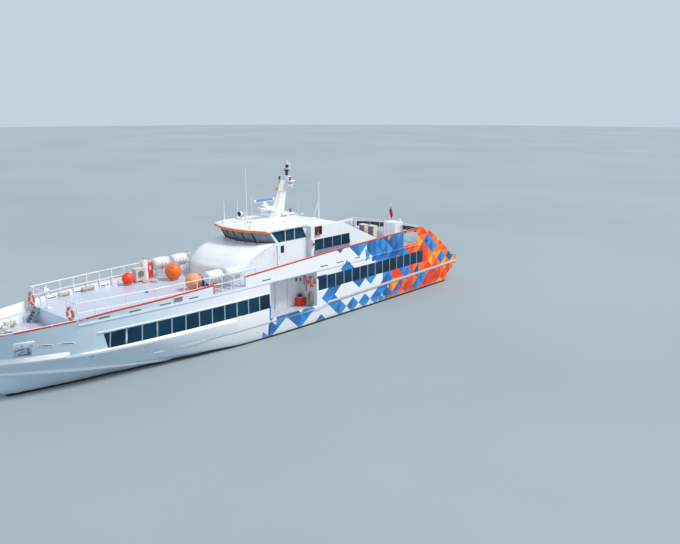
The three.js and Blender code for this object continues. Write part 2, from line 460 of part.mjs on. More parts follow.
// Deckhouse under the bridge: a round front that leans back to the sill of the bridge windows
const HOUSE_Y = 2500, LOUNGE_FORE = -3000, HOUSE_AFT = LOUNGE_FORE + GAP;
const INNER_DOOR = { y: 420, head: 5650 };
const SILL = 5800, HEAD = 6600;
// Half outlines of the front in plan: x back from the foremost point, and the share of the half width
const FRONT_PLAN = [[0, 0], [60, 0.26], [230, 0.52], [520, 0.76], [900, 0.92], [1350, 1]];
const BROW_PLAN = [[0, 0], [30, 0.26], [100, 0.52], [260, 0.76], [600, 0.92], [1300, 1]];
const SILL_PLAN = [[0, 0], [60, 0.26], [240, 0.52], [540, 0.76], [900, 0.92], [1250, 1]];
const HEAD_PLAN = [[0, 0], [45, 0.26], [170, 0.52], [400, 0.76], [650, 0.92], [980, 1]];
const VISOR_PLAN = [[0, 0], [40, 0.26], [170, 0.52], [410, 0.76], [560, 0.92], [770, 1]];
const mixPlan = (a, b, t) => a.map(([dx, f], i) => [dx + (b[i][0] - dx) * t, f]);
function planRing(plan, front, halfY, aft, z, inset = 0) {
  const port = plan.map(([dx, f]) => [front - dx - inset, f * (halfY - inset)]);
  const half = [...port, [aft + inset, halfY - inset]];
  return [...half.map(([x, y]) => [x, y, z]), ...half.slice(1).reverse().map(([x, y]) => [x, -y, z])];
}
// The dome in front of the bridge. brow: how far the outline has turned into the flat top one
const DOME = [
  { z: 4630, front: 3950, brow: 0 }, { z: 4950, front: 3640, brow: 0.15 }, { z: 5250, front: 3210, brow: 0.4 },
  { z: 5550, front: 2450, brow: 0.7 }, { z: SILL, front: 1480, brow: 1 },
];
const WALL_IN = 50;              // thickness of the house walls
const SILL_FRONT = 1050, HEAD_FRONT = 1420;
const houseShell = (inset) => loft([
  planRing(FRONT_PLAN, 4020, HOUSE_Y, HOUSE_AFT, inset ? UPPER_DECK - 100 : UPPER_DECK + GAP, inset),
  ...DOME.map(({ z, front, brow }) => planRing(mixPlan(FRONT_PLAN, BROW_PLAN, brow), front,
    HOUSE_Y - 30 * brow, HOUSE_AFT, z, inset)),
]);
// The hollow of the bridge, from under its ledge to over its head
const bridgeHollow = loft([SILL - 100, SILL + 60].map((z) => planRing(SILL_PLAN, SILL_FRONT, HOUSE_Y - 30, HOUSE_AFT, z, WALL_IN)));
const SIDE_DOOR = { x0: -950, x1: -150, z0: 3900, z1: 5720 };
const doorway = box(SIDE_DOOR.x0 + 50, SIDE_DOOR.x1 - 50, 2000, 3000, SIDE_DOOR.z0 + 40, SIDE_DOOR.z1 - 50);
const innerDoorway = box(LOUNGE_FORE - 200, LOUNGE_FORE + 200, -INNER_DOOR.y, INNER_DOOR.y, UPPER_DECK - 50, INNER_DOOR.head);
const houseHollow = cut(houseShell(WALL_IN), box(-5000, 5000, -4000, 4000, SILL - WALL_IN, 7000));
const deckhouse = cut(houseShell(0), houseHollow, bridgeHollow, both(doorway), innerDoorway);
const doorTrack = box(SIDE_DOOR.x0 - 850, SIDE_DOOR.x1 + 40, HOUSE_Y - 10, HOUSE_Y + CLEAR + 50, SIDE_DOOR.z0 - 40, SIDE_DOOR.z0 - GAP);
const sideDoor = box(SIDE_DOOR.x0, SIDE_DOOR.x1, HOUSE_Y + CLEAR, HOUSE_Y + CLEAR + 40, SIDE_DOOR.z0, SIDE_DOOR.z1);
const BRIDGE_FLOOR = 4720;
const bridgeFloor = cut(houseShell(WALL_IN + GAP),
  box(-4000, 4000, -4000, 4000, 3000, BRIDGE_FLOOR - 50), box(-4000, 4000, -4000, 4000, BRIDGE_FLOOR, 7000),
  box(2400, 5000, -4000, 4000, 3000, 7000),
  both(box(SIDE_DOOR.x0 - 100, SIDE_DOOR.x1 + 100, 1600, 3000, BRIDGE_FLOOR - 100, BRIDGE_FLOOR + 100)));

// Bridge walls with raked front windows
const bridgeShell = (inset, z0, z1) => loft([
  planRing(SILL_PLAN, SILL_FRONT, HOUSE_Y - 30, HOUSE_AFT, z0, inset),
  planRing(HEAD_PLAN, HEAD_FRONT, HOUSE_Y - 50, HOUSE_AFT, z1, inset)]);
const bridgeSolid = cut(bridgeShell(0, SILL - 1, HEAD), bridgeShell(WALL_IN - GAP, SILL - 1, HEAD),
  bridgeShell(WALL_IN - GAP, SILL - 60, SILL), bridgeShell(WALL_IN - GAP, HEAD - 1, HEAD + 60));
// Front panes: cut wedges seen from the front; side panes: cut across
const FRONT_BARS = [-2330, -1560, -780, 0, 780, 1560, 2330];
const PANE_LOW = SILL + 50, PANE_HIGH = HEAD - 45;
const frontPanes = FRONT_BARS.slice(1).map((y, i) => box(-400, 2500, FRONT_BARS[i] + 35, y - 35, PANE_LOW, PANE_HIGH));
// Side panes: low and high, each from x to x
const SIDE_PANES = [
  { low: [-2860, -1820], high: [-2510, -1820] }, { low: [-1745, -985], high: [-1745, -985] },
  { low: [-910, -350], high: [-910, 250] },
];
const sidePanes = SIDE_PANES.map(({ low, high }) => slab([[low[0], PANE_LOW], [low[1], PANE_LOW],
  [high[1], PANE_HIGH], [high[0], PANE_HIGH]], 'y', -3000, 3000));
const bridgeWalls = cut(bridgeSolid, frontPanes, sidePanes);
const bridgeGlass = cut(bridgeShell(WALL_IN, SILL - 1, HEAD), bridgeShell(WALL_IN + GLASS, SILL - 60, HEAD + 60),
  box(-4000, 4000, -4000, 4000, SILL - 100, SILL + 10), box(-4000, 4000, -4000, 4000, HEAD - 15, HEAD + 100));
// Roof with the visor that carries the orange band. front and half width of each level
const ROOF = [
  { z: HEAD + GAP, front: 1480, y: 2520 }, { z: HEAD + 15, front: 1550, y: 2560 },
  { z: HEAD + 125, front: 1550, y: 2560 }, { z: HEAD + 190, front: 1400, y: 2420 },
  { z: HEAD + 340, front: 850, y: 2000 }, { z: HEAD + 400, front: 100, y: 1250 },
];
const roofShell = loft(ROOF.map(({ z, front, y }) => planRing(VISOR_PLAN, front, y, HOUSE_AFT - 40, z)));
const whip = (x, y, z, high, r = 16) => [bar([x, y, z - 60], [x, y, z + 160], 45, 8), bar([x, y, z], [x, y, z + high], r, 6, 8)];
const LAMP = { x: -420, y: -1210, z: HEAD + 420 };
const bridgeRoof = join(roofShell, bar([LAMP.x, LAMP.y, HEAD + 300], [LAMP.x, LAMP.y, LAMP.z + 12], 80, 10),
  whip(320, -2120, HEAD + 250, 1300), whip(-930, -2200, HEAD + 250, 1300), whip(-1120, -1500, HEAD + 340, 3400, 22),
  whip(-1930, -1900, HEAD + 320, 1300));
// Console and helm seats inside
const helmSeat = (y) => join(box(-500, -60, y - 260, y + 260, BRIDGE_FLOOR + 450, BRIDGE_FLOOR + 570),
  box(-560, -450, y - 250, y + 250, BRIDGE_FLOOR + 500, BRIDGE_FLOOR + 1200),
  bar([-280, y, BRIDGE_FLOOR - 20], [-280, y, BRIDGE_FLOOR + 500], 70, 10));
const bridgeFittings = join(bridgeFloor, slab([[420, BRIDGE_FLOOR - 20], [950, BRIDGE_FLOOR - 20], [950, BRIDGE_FLOOR + 1000],
  [700, BRIDGE_FLOOR + 1000], [420, BRIDGE_FLOOR + 820]], 'y', -1300, 1300),
  helmSeat(-700), helmSeat(700));

// Upper saloon behind the bridge
const LOUNGE = { x0: -9980, x1: LOUNGE_FORE, y: 2790, roof: 6560, bend: -6280, low: 4800 };
const LOUNGE_WINDOWS = { x0: -6840, x1: -3460, sill: 4900, head: 5600 };
const loungeRoofBlock = slab([[LOUNGE.x0, UPPER_DECK + GAP], [LOUNGE.x1, UPPER_DECK + GAP], [LOUNGE.x1, LOUNGE.roof],
  [LOUNGE.bend, LOUNGE.roof - 120], [LOUNGE.x0, LOUNGE.low]], 'y', -LOUNGE.y, LOUNGE.y);
const loungeInside = slab([[LOUNGE.x0 + 55, UPPER_DECK - 100], [LOUNGE.x1 - 50, UPPER_DECK - 100],
  [LOUNGE.x1 - 50, LOUNGE.roof - 60], [LOUNGE.bend, LOUNGE.roof - 180], [LOUNGE.x0 + 55, LOUNGE.low - 40]], 'y', -LOUNGE.y + 50, LOUNGE.y - 50);
const loungePanes = [0, 1, 2, 3].map((i) => {
  const w = (LOUNGE_WINDOWS.x1 - LOUNGE_WINDOWS.x0) / 4, a = LOUNGE_WINDOWS.x0 + i * w + 40, b = a + w - 80;
  const leanA = i === 0 ? 220 : 0, leanB = i === 3 ? 130 : 0;
  return slab([[a - leanA, LOUNGE_WINDOWS.sill], [b - leanB, LOUNGE_WINDOWS.sill], [b, LOUNGE_WINDOWS.head],
    [a, LOUNGE_WINDOWS.head]], 'y', 2000, 3000);
});
const lounge = cut(loungeRoofBlock, loungeInside, both(join(loungePanes)), innerDoorway);
// Gear on the lounge roof, on one walkway plate: two ladder hoops, a whip and a pole with its stay
const WALK = { x0: -5720, x1: -3950, y0: 60, y1: 1180, thick: 12 };
const roofZ = (x) => LOUNGE.roof - 120 * (LOUNGE.x1 - x) / (LOUNGE.x1 - LOUNGE.bend);
const HOOP = { wide: 300, high: 420, peak: 520, r: 20, y: 230 };
const POLE = { x: -5590, y: 1050, high: 2540, stay: 1340 };
function ladderHoop(x) {
  const z = roofZ(x), y = HOOP.y, far = x - HOOP.wide, mid = x - HOOP.wide / 2;
  return join(bar([x, y, z + 6], [x, y, z + HOOP.high], HOOP.r), bar([far, y, z], [far, y, z + HOOP.high], HOOP.r),
    bar([x, y, z + HOOP.high - 10], [mid, y, z + HOOP.peak], HOOP.r), bar([far, y, z + HOOP.high - 10], [mid, y, z + HOOP.peak], HOOP.r));
}
const loungeRoofGear = join(
  slab([[WALK.x0, roofZ(WALK.x0) + GAP], [WALK.x1, roofZ(WALK.x1) + GAP], [WALK.x1, roofZ(WALK.x1) + WALK.thick],
    [WALK.x0, roofZ(WALK.x0) + WALK.thick]], 'y', WALK.y0, WALK.y1),
  ladderHoop(-4050), ladderHoop(-4600),
  bar([-4470, 140, roofZ(-4470) + 6], [-4470, 140, roofZ(-4470) + 160], 45, 8),
  bar([-4470, 140, roofZ(-4470) + 100], [-4470, 140, roofZ(-4470) + 1360], 16, 6, 8),
  bar([POLE.x, POLE.y, roofZ(POLE.x) + 6], [POLE.x, POLE.y, LOUNGE.roof + POLE.high], 45, 10, 30),
  bar([POLE.x + 700, POLE.y, roofZ(POLE.x + 700) + 10], [POLE.x, POLE.y, LOUNGE.roof + POLE.stay], 20, 6));
const loungeGlass = box(LOUNGE_WINDOWS.x0 - 260, LOUNGE_WINDOWS.x1 + 60, LOUNGE.y - 50 - 0.5 - GLASS, LOUNGE.y - 50.5,
  LOUNGE_WINDOWS.sill - 40, LOUNGE_WINDOWS.head + 40);

// Seats: rows on a plinth that runs the length of each saloon
function seatBlock(x0, rows, pitch, half, floor) {
  const len = rows * pitch + 400;
  const parts = [];
  for (const s of [-1, 1]) parts.push(box(x0 - 300, x0 + len - 300, s > 0 ? 520 : -half, s > 0 ? half : -520, floor + GAP, floor + 90));
  parts.push(box(x0 - 300, x0 + len - 300, -560, 560, floor + GAP, floor + 20));
  for (let i = 0; i < rows; i++) {
    const x = x0 + i * pitch;
    for (const s of [-1, 1]) {
      const [a, b] = s > 0 ? [560, half - 60] : [-half + 60, -560];
      parts.push(slab([[x, floor + 80], [x + 420, floor + 80], [x + 440, floor + 440], [x + 90, floor + 440],
        [x - 60, floor + 1120], [x - 150, floor + 1120], [x - 10, floor + 400]], 'y', a, b));
    }
  }
  return join(parts);
}
const foreSeats = seatBlock(2300, 10, 880, 1500, DECK_LOW);
const aftSeats = seatBlock(-14300, 11, 900, 2900, DECK_AFT);
const loungeSeats = seatBlock(-8600, 5, 900, 2300, UPPER_DECK);

// Mast with the radar platform and two yards
// The mast rakes aft. fore and aft: its edges at each height, half: half its width
const MAST = [
  { z: HEAD + 250, fore: -1720, aft: -2880, half: 330 }, { z: 8100, fore: -2340, aft: -3140, half: 240 },
  { z: 8800, fore: -2640, aft: -3360, half: 180 }, { z: 9400, fore: -2940, aft: -3580, half: 160 },
];
const mastRing = ({ z, fore, aft, half }) => [[fore, 0, z], [fore + (aft - fore) * 0.3, half, z], [aft, half * 0.8, z],
  [aft, -half * 0.8, z], [fore + (aft - fore) * 0.3, -half, z]];
const RADAR = { x: -1370, z: 8060, reach: 870 };
const MAST_TOP = { x: -3560, z: 10690 };
const mast = cut(join(
  loft(MAST.map(mastRing)),
  slab([[-2500, 7380], [-920, 7690], [-920, 7770], [-2500, 7770]], 'y', -170, 170),
  bar([RADAR.x, 0, 7740], [RADAR.x, 0, RADAR.z], 190, 14),
  box(-3700, -3200, -650, 650, 9370, 9440), box(-3680, -3380, -260, 260, 9430, 9720),
  slab([[-2700, 7120], [-3880, 7120], [-3880, 7180], [-2700, 7280]], 'y', -450, 450),
  bar([MAST_TOP.x + 30, 0, 9500], [MAST_TOP.x, 0, MAST_TOP.z], 55, 8, 35),
  box(-3660, -3420, -300, 300, 10200, 10250)), roofShell.translate([0, 0, GAP]));
// At rest the bar of the scanner lies fore and aft
const scanner = join(bar([RADAR.x, 0, RADAR.z + GAP], [RADAR.x, 0, RADAR.z + 130], 110, 14),
  box(RADAR.x - RADAR.reach, RADAR.x + RADAR.reach, -70, 70, RADAR.z + 110, RADAR.z + 245));
// Searchlight on the bridge roof
const searchlight = join(bar([LAMP.x, LAMP.y, LAMP.z + 12 + GAP], [LAMP.x, LAMP.y, LAMP.z + 150], 60, 10),
  bar([LAMP.x - 230, LAMP.y, LAMP.z + 300], [LAMP.x + 200, LAMP.y, LAMP.z + 300], 190, 14),
  bar([LAMP.x, LAMP.y, LAMP.z + 100], [LAMP.x, LAMP.y, LAMP.z + 300], 60, 10));

// Gear on the foredeck
function raft(x, y, z, len = 1250, r = 430, axis = 840) {
  return [bar([x - len / 2, y, z + axis], [x + len / 2, y, z + axis], r, 14),
    ...[-1, 1].map((s) => slab([[y - 340, z + GAP], [y + 340, z + GAP], [y + 260, z + 530], [y - 260, z + 530]], 'x',
      x + s * len * 0.28 - 35, x + s * len * 0.28 + 35)),
    box(x - len * 0.3, x + len * 0.3, y - 300, y + 300, z + GAP, z + 50)];
}
const RAFT_Y = 2700;
const rafts = join(raft(5180, RAFT_Y, UPPER_DECK), raft(3800, RAFT_Y, UPPER_DECK),
  box(3800, 5180, RAFT_Y - 50, RAFT_Y + 50, UPPER_DECK + GAP, UPPER_DECK + 50));
const unit = (x, y, z, lx, ly, h) => join(box(x - lx / 2, x + lx / 2, y - ly / 2, y + ly / 2, z + GAP, z + h));
const deckBoxesForward = join(unit(6850, -2560, UPPER_DECK, 700, 450, 850), unit(6290, -2790, UPPER_DECK, 340, 340, 1250),
  unit(5960, -2790, UPPER_DECK, 240, 280, 950), box(5960, 6850, -2700, -2640, UPPER_DECK + GAP, UPPER_DECK + 50));
const AIR_X = -13720, AIR_Y = [-1600, -680];
const airAft = join(AIR_Y.map((y) => unit(AIR_X, y, UPPER_DECK, 450, 650, 1090)),
  box(AIR_X - 50, AIR_X + 50, ...AIR_Y, UPPER_DECK + GAP, UPPER_DECK + 60));
const crossBulwark = join(crossPlate, box(-14560, -13500, 670, 1770, UPPER_DECK + GAP, 5350),
  bar([-14018, 850, 5300], [-14150, 850, 6750], 26, 8));
const fenderRed = join(ball(7750, -2350, UPPER_DECK + 380, 375), bar([7750, -2350, UPPER_DECK + GAP], [7750, -2350, UPPER_DECK + 60], 200, 14));
const fenderOrange = join(ball(5150, -1350, UPPER_DECK + 530, 525), bar([5150, -1350, UPPER_DECK + GAP], [5150, -1350, UPPER_DECK + 70], 250, 14));
const fenderPale = join(ball(5820, 1620, UPPER_DECK + 505, 500), bar([5820, 1620, UPPER_DECK + GAP], [5820, 1620, UPPER_DECK + 70], 250, 14));

// Bow gear
const windlass = join(box(15950, 16550, -420, 420, DECK_BOW + GAP, DECK_BOW + 120),
  bar([16250, -620, DECK_BOW + 380], [16250, 620, DECK_BOW + 380], 60, 12),
  bar([16250, -600, DECK_BOW + 380], [16250, -440, DECK_BOW + 380], 190, 14),
  bar([16250, 440, DECK_BOW + 380], [16250, 600, DECK_BOW + 380], 190, 14),
  box(16050, 16450, -260, 260, DECK_BOW + 100, DECK_BOW + 560));
const hatchLid = join(box(HATCH.x0 - 30, HATCH.x1 + 30, -HATCH.y - 30, HATCH.y + 30, DECK_BOW + 260 + GAP, DECK_BOW + 302));
const STEP_COUNT = 5;
const LADDER = { y: -1780, half: 230, foot: 14200 };
const bowLadder = join(
  ...[-1, 1].map((s) => slab([[FOREDECK_X + 10, UPPER_DECK + 20], [FOREDECK_X + 90, UPPER_DECK + 20], [LADDER.foot + 90, DECK_BOW + GAP],
    [LADDER.foot - 90, DECK_BOW + GAP], [FOREDECK_X + 10, UPPER_DECK - 260]], 'y',
  LADDER.y + s * LADDER.half - 15, LADDER.y + s * LADDER.half + 15)),
  ...Array.from({ length: STEP_COUNT - 1 }, (_, i) => {
    const t = (i + 1) / STEP_COUNT, x = FOREDECK_X + 50 + (LADDER.foot - FOREDECK_X - 50) * t, z = UPPER_DECK + (DECK_BOW - UPPER_DECK) * t;
    return box(x - 90, x + 80, LADDER.y - LADDER.half, LADDER.y + LADDER.half, z - 15, z + 15);
  }));
function anchor() {
  const x = 16130, y = ANCHOR_POCKET.y + 40, z = 2650;
  return join(bar([x - 250, y, z + 40], [x + 260, y, z], 55, 8), box(x - 300, x - 160, y - 55, y + 55, z - 190, z + 230),
    slab([[x - 250, z - 190], [x + 120, z - 150], [x - 120, z - 60]], 'y', y - 30, y + 30),
    slab([[x - 250, z + 230], [x + 120, z + 200], [x - 120, z + 100]], 'y', y - 30, y + 30));
}

// Propellers, shafts and rudders
function propeller(s) {
  const shaftLength = span(onShaft(PROP_X), onShaft(BORE_END)) - GAP;
  const axisTilt = Math.atan2(SHAFT.z1 - SHAFT.z0, SHAFT.x0 - SHAFT.x1);
  const parts = [];
  for (let i = 0; i < 4; i++) {
    const blade = new THREE.Shape([[-70, 60], [-150, 260], [-110, 460], [10, 500], [120, 420], [140, 220], [70, 60]]
      .map(([u, v]) => new THREE.Vector2(u, v)));
    const g = new THREE.ExtrudeGeometry(blade, { depth: 24, bevelEnabled: false, curveSegments: 1 });
    g.translate(0, 0, -12).rotateY(s * 0.75 + Math.PI / 2).rotateX(i * Math.PI / 2);
    parts.push(toSolid(g));
  }
  const hub = new THREE.LatheGeometry([[0, 190], [60, 160], [105, 90], [110, -150], [52, -150], [50, -shaftLength], [0, -shaftLength]]
    .map(([u, v]) => new THREE.Vector2(u, v)), 16).rotateZ(Math.PI / 2);
  const whole = join(toSolid(hub), parts);
  const turned = toSolid(toGeometry(whole).rotateY(axisTilt).translate(...onShaft(PROP_X)));
  return s > 0 ? turned : mirrored(turned);
}
const rudder = join(
  loft([RUDDER_TOP - 4, -1450].map((z, i) => {
    const f = i ? 0.82 : 1;
    return [[RUDDER_X + 190 * f, SHAFT_Y, z], [RUDDER_X + 80 * f, SHAFT_Y + 52, z], [RUDDER_X - 140 * f, SHAFT_Y + 40, z],
      [RUDDER_X - 420 * f, SHAFT_Y + 3, z], [RUDDER_X - 420 * f, SHAFT_Y - 3, z], [RUDDER_X - 140 * f, SHAFT_Y - 40, z],
      [RUDDER_X + 80 * f, SHAFT_Y - 52, z]];
  })),
  bar([RUDDER_X, SHAFT_Y, RUDDER_TOP + 200 - GAP], [RUDDER_X, SHAFT_Y, RUDDER_TOP - 300], STOCK_R, 16));

// Red box in the port boarding recess
const redChest = box(-2760, -2150, 1985, 2480, DECK_LOW + GAP, DECK_LOW + 550);

// Assembly
const ferry = new THREE.Group();
ferry.name = 'passenger_ferry';
const WHITE = 0xf2f4f5, DECK = 0xb9bccb, DARK = 0x1b3a4f, ORANGE = 0xf0521e, STEEL = 0x8b9096, BRONZE = 0xa8834a;
const NAVY = 0x2b3554, CREAM = 0xe8dcc0, BLUE = 0x3a8fd0, RED = 0xd8261c;
function add(name, s, color, glass = false) {
  const material = new THREE.MeshStandardMaterial({ color, roughness: glass ? 0.08 : 0.5, metalness: 0 });
  const m = new THREE.Mesh(toGeometry(s), material);
  m.name = name;
  ferry.add(m);
}
function pair(name, s, color, glass = false) {
  add(`${name}_port`, s, color, glass);
  add(`${name}_starboard`, mirrored(s), color, glass);
}
add('hull', hull, WHITE);
add('bow_bulwark', bowBulwark, WHITE);
pair('forward_wall', foreWall, WHITE);
pair('aft_wall', aftWall, WHITE);
pair('forward_glazing', foreGlass, DARK, true);
pair('aft_glazing', aftGlass, DARK, true);
add('lobby_walls', lobbyWalls, WHITE);
add('stern_bulkhead', sternBulkhead, WHITE);
add('forward_seats', foreSeats, NAVY);
add('aft_seats', aftSeats, NAVY);
add('lounge_seats', loungeSeats, NAVY);
add('upper_deck', upperDeck, DECK);
pair('forward_side', fasciaFore, WHITE);
pair('aft_side', fasciaAft, WHITE);
add('cross_bulwark', crossBulwark, WHITE);
add('foredeck_rails', foredeckRails, WHITE);
add('deckhouse', join(deckhouse, bridgeWalls, both(doorTrack)), WHITE);
add('bridge_glazing', bridgeGlass, DARK, true);
add('bridge_roof', bridgeRoof, WHITE);
add('bridge_fittings', bridgeFittings, NAVY);
pair('lounge_glazing', loungeGlass, DARK, true);
add('lounge', lounge, WHITE);
add('lounge_roof_gear', loungeRoofGear, WHITE);
add('mast', mast, WHITE);
add('radar_scanner', scanner, BLUE);
add('searchlight', searchlight, WHITE);
pair('rafts', rafts, WHITE);
add('deck_boxes_forward', deckBoxesForward, CREAM);
add('air_units_aft', airAft, CREAM);
add('fender_red', fenderRed, RED);
add('fender_orange', fenderOrange, ORANGE);
add('fender_pale', fenderPale, ORANGE);
add('windlass', windlass, STEEL);
add('bow_hatch_lid', hatchLid, CREAM);
add('bow_ladder', bowLadder, STEEL);
add('red_chest', redChest, RED);
pair('boarding_door', boardDoor, WHITE);
add('stern_door', sternDoor, WHITE);
pair('bridge_door', sideDoor, WHITE);
add('propeller_port', propeller(1), BRONZE);
add('propeller_starboard', propeller(-1), BRONZE);
pair('rudder', rudder, STEEL);

export default ferry;
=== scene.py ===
# %% [markdown]
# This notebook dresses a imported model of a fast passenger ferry. The hull, decks, walls, mast and
# everything that moves come ready from the frame. Blender adds paint, glass, deck gear and small
# fittings, all in metres, with +X to the bow, +Y to port and the waterline at height zero.

# %% Load the frame
import json
import math

import bpy
import bmesh
from mathutils import Matrix, Vector
from mathutils.bvhtree import BVHTree

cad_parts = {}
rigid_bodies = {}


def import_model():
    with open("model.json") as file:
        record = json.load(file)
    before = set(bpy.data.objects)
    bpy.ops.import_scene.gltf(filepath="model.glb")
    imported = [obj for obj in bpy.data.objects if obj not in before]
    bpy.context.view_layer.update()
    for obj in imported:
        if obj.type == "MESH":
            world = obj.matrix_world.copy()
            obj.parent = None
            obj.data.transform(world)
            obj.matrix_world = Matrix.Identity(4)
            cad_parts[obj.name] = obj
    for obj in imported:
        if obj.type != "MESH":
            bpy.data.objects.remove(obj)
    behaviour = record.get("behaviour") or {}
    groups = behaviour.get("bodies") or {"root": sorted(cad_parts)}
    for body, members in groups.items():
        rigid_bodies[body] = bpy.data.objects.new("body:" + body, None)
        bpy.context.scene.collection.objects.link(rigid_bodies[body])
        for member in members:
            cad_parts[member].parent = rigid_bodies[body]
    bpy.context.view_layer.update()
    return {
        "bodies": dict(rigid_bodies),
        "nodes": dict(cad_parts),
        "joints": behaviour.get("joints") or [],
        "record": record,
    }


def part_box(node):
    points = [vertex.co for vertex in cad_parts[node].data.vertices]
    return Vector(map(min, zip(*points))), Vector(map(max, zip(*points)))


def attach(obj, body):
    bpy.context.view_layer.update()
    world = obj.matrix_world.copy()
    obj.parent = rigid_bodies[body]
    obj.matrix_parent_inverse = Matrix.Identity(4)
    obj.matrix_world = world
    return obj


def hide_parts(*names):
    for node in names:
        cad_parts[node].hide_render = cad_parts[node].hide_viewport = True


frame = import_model()
nodes = frame["nodes"]

# %% [markdown]
# The photograph was taken from the air, ahead of the ship on her port side. The lens is worked out
# from how the long lines of the deck draw together, so the camera stands where the picture was
# taken from. Its three directions are written out as columns of one matrix, which leaves nothing to
# tilt.

# %% Camera
LENS_MM = 37.06
SENSOR_MM = 36.0
EYE = Vector((29.97, 34.89, 14.65))
HEADING = Vector((-0.7452, -0.667, 0)).normalized()
PITCH = math.radians(13.68)


def put(name, data):
    """Makes an object of the data and stands it in the scene."""
    made = bpy.data.objects.new(name, data)
    bpy.context.scene.collection.objects.link(made)
    return made


look = HEADING * math.cos(PITCH) - Vector((0, 0, math.sin(PITCH)))
right = look.cross(Vector((0, 0, 1))).normalized()
over = right.cross(look)
camera_data = bpy.data.cameras.new("camera")
camera_data.lens = LENS_MM
camera_data.sensor_width = SENSOR_MM
camera_data.clip_end = 900
camera = put("camera", camera_data)
camera.matrix_world = Matrix((
    (right.x, over.x, -look.x, EYE.x),
    (right.y, over.y, -look.y, EYE.y),
    (right.z, over.z, -look.z, EYE.z),
    (0, 0, 0, 1)))
bpy.context.scene.camera = camera
print("camera looks along", [round(v, 3) for v in look])

# %% [markdown]
# A painted material is never one colour. Salt, sun and wear change its tone in wide soft patches,
# and rain draws streaks down it. Every material here is a small graph of noise that does this, so a
# short helper writes such graphs: it makes a node, joins what is given to it, and hands back the
# output to use next. All patterns are laid in the object's own coordinates, which move with it.

# %% Helper for material graphs
class Graph:
    def __init__(self, name, rough=0.5, metal=0.0, **fixed):
        self.material = bpy.data.materials.new(name)
        self.material.use_nodes = True
        self.tree = self.material.node_tree
        self.shader = self.tree.nodes["Principled BSDF"]
        self.shader.inputs["Roughness"].default_value = rough
        self.shader.inputs["Metallic"].default_value = metal
        for socket, value in fixed.items():
            self.shader.inputs[socket.replace("_", " ")].default_value = value
        coords = self.tree.nodes.new("ShaderNodeTexCoord")
        self.place = coords.outputs["Object"]

    def feed(self, socket, value):
        if isinstance(value, bpy.types.NodeSocket):
            self.tree.links.new(value, socket)
        elif value is not None:
            socket.default_value = value

    def node(self, kind, values=(), **settings):
        made = self.tree.nodes.new(kind)
        for key, value in settings.items():
            setattr(made, key, value)
        for key, value in dict(values).items():
            self.feed(made.inputs[key], value)
        return made

    def math(self, operation, a, b=0.0):
        return self.node("ShaderNodeMath", {0: a, 1: b}, operation=operation).outputs[0]

    def times(self, a, b):
        return self.math("MULTIPLY", a, b)

    def plus(self, a, b):
        return self.math("ADD", a, b)

    def above(self, a, b):
        return self.math("GREATER_THAN", a, b)

    def below(self, a, b):
        return self.math("LESS_THAN", a, b)

    def mix(self, share, a, b):
        made = self.node("ShaderNodeMix", data_type="RGBA", clamp_factor=True)
        self.feed(made.inputs[0], share)
        for index, colour in ((6, a), (7, b)):
            self.feed(made.inputs[index], colour if not isinstance(colour, tuple) else (*colour, 1))
        return made.outputs[2]

    def noise(self, scale, detail=3.0, stretch=None):
        place = self.place
        if stretch:
            place = self.node("ShaderNodeMapping", {"Vector": place, "Scale": stretch}).outputs[0]
        return self.node("ShaderNodeTexNoise", {
            "Vector": place, "Scale": scale, "Detail": detail, "Roughness": 0.55}).outputs["Fac"]

    def spread(self, value, low, high, to_low=0.0, to_high=1.0):
        """A value's range from low to high, laid over the range from to_low to to_high."""
        ends = {"From Min": low, "From Max": high, "To Min": to_low, "To Max": to_high}
        return self.node("ShaderNodeMapRange", {"Value": value, **ends}).outputs[0]

    def split(self, vector):
        return self.node("ShaderNodeSeparateXYZ", {"Vector": vector}).outputs

    def facing(self):
        geometry = self.node("ShaderNodeNewGeometry")
        return self.split(geometry.outputs["True Normal"])

    def bump(self, height, distance, strength=0.4):
        made = self.node("ShaderNodeBump", {"Height": height, "Distance": distance, "Strength": strength})
        self.feed(self.shader.inputs["Normal"], made.outputs[0])

    def done(self, colour, roughness=None):
        self.feed(self.shader.inputs["Base Color"], colour)
        self.feed(self.shader.inputs["Roughness"], roughness)
        return self.material


def shade(colour, share):
    return tuple(channel * share for channel in colour)

# %% [markdown]
# Ship's enamel is glossy where it is new and chalky where the sun has been at it. Long thin noise,
# stretched upright, gives the rain streaks, and a wide noise gives the patches. A very fine noise
# in the bump stands for the brush and roller marks that break up the reflections.

# %% Plain paints
WHITE = (0.86, 0.88, 0.9)
SOOT = (0.42, 0.4, 0.38)


def enamel(name, colour, rough=0.32, dirt=0.16):
    g = Graph(name, rough, Coat_Weight=0.15, Coat_Roughness=0.2)
    patches = g.noise(0.7, 4)
    streaks = g.noise(5, 3, (1, 1, 0.07))
    worn = g.times(g.spread(streaks, 0.52, 0.78), g.spread(patches, 0.35, 0.7))
    tone = g.mix(g.spread(patches, 0.3, 0.7), colour, shade(colour, 0.94))
    dirty = g.mix(g.times(worn, dirt * 2.4), tone, tuple(c * s for c, s in zip(colour, SOOT)))
    grain = g.noise(55, 2)
    g.bump(grain, 0.0012, 0.25)
    return g.done(dirty, g.spread(patches, 0.2, 0.8, rough * 0.8, rough * 1.35))


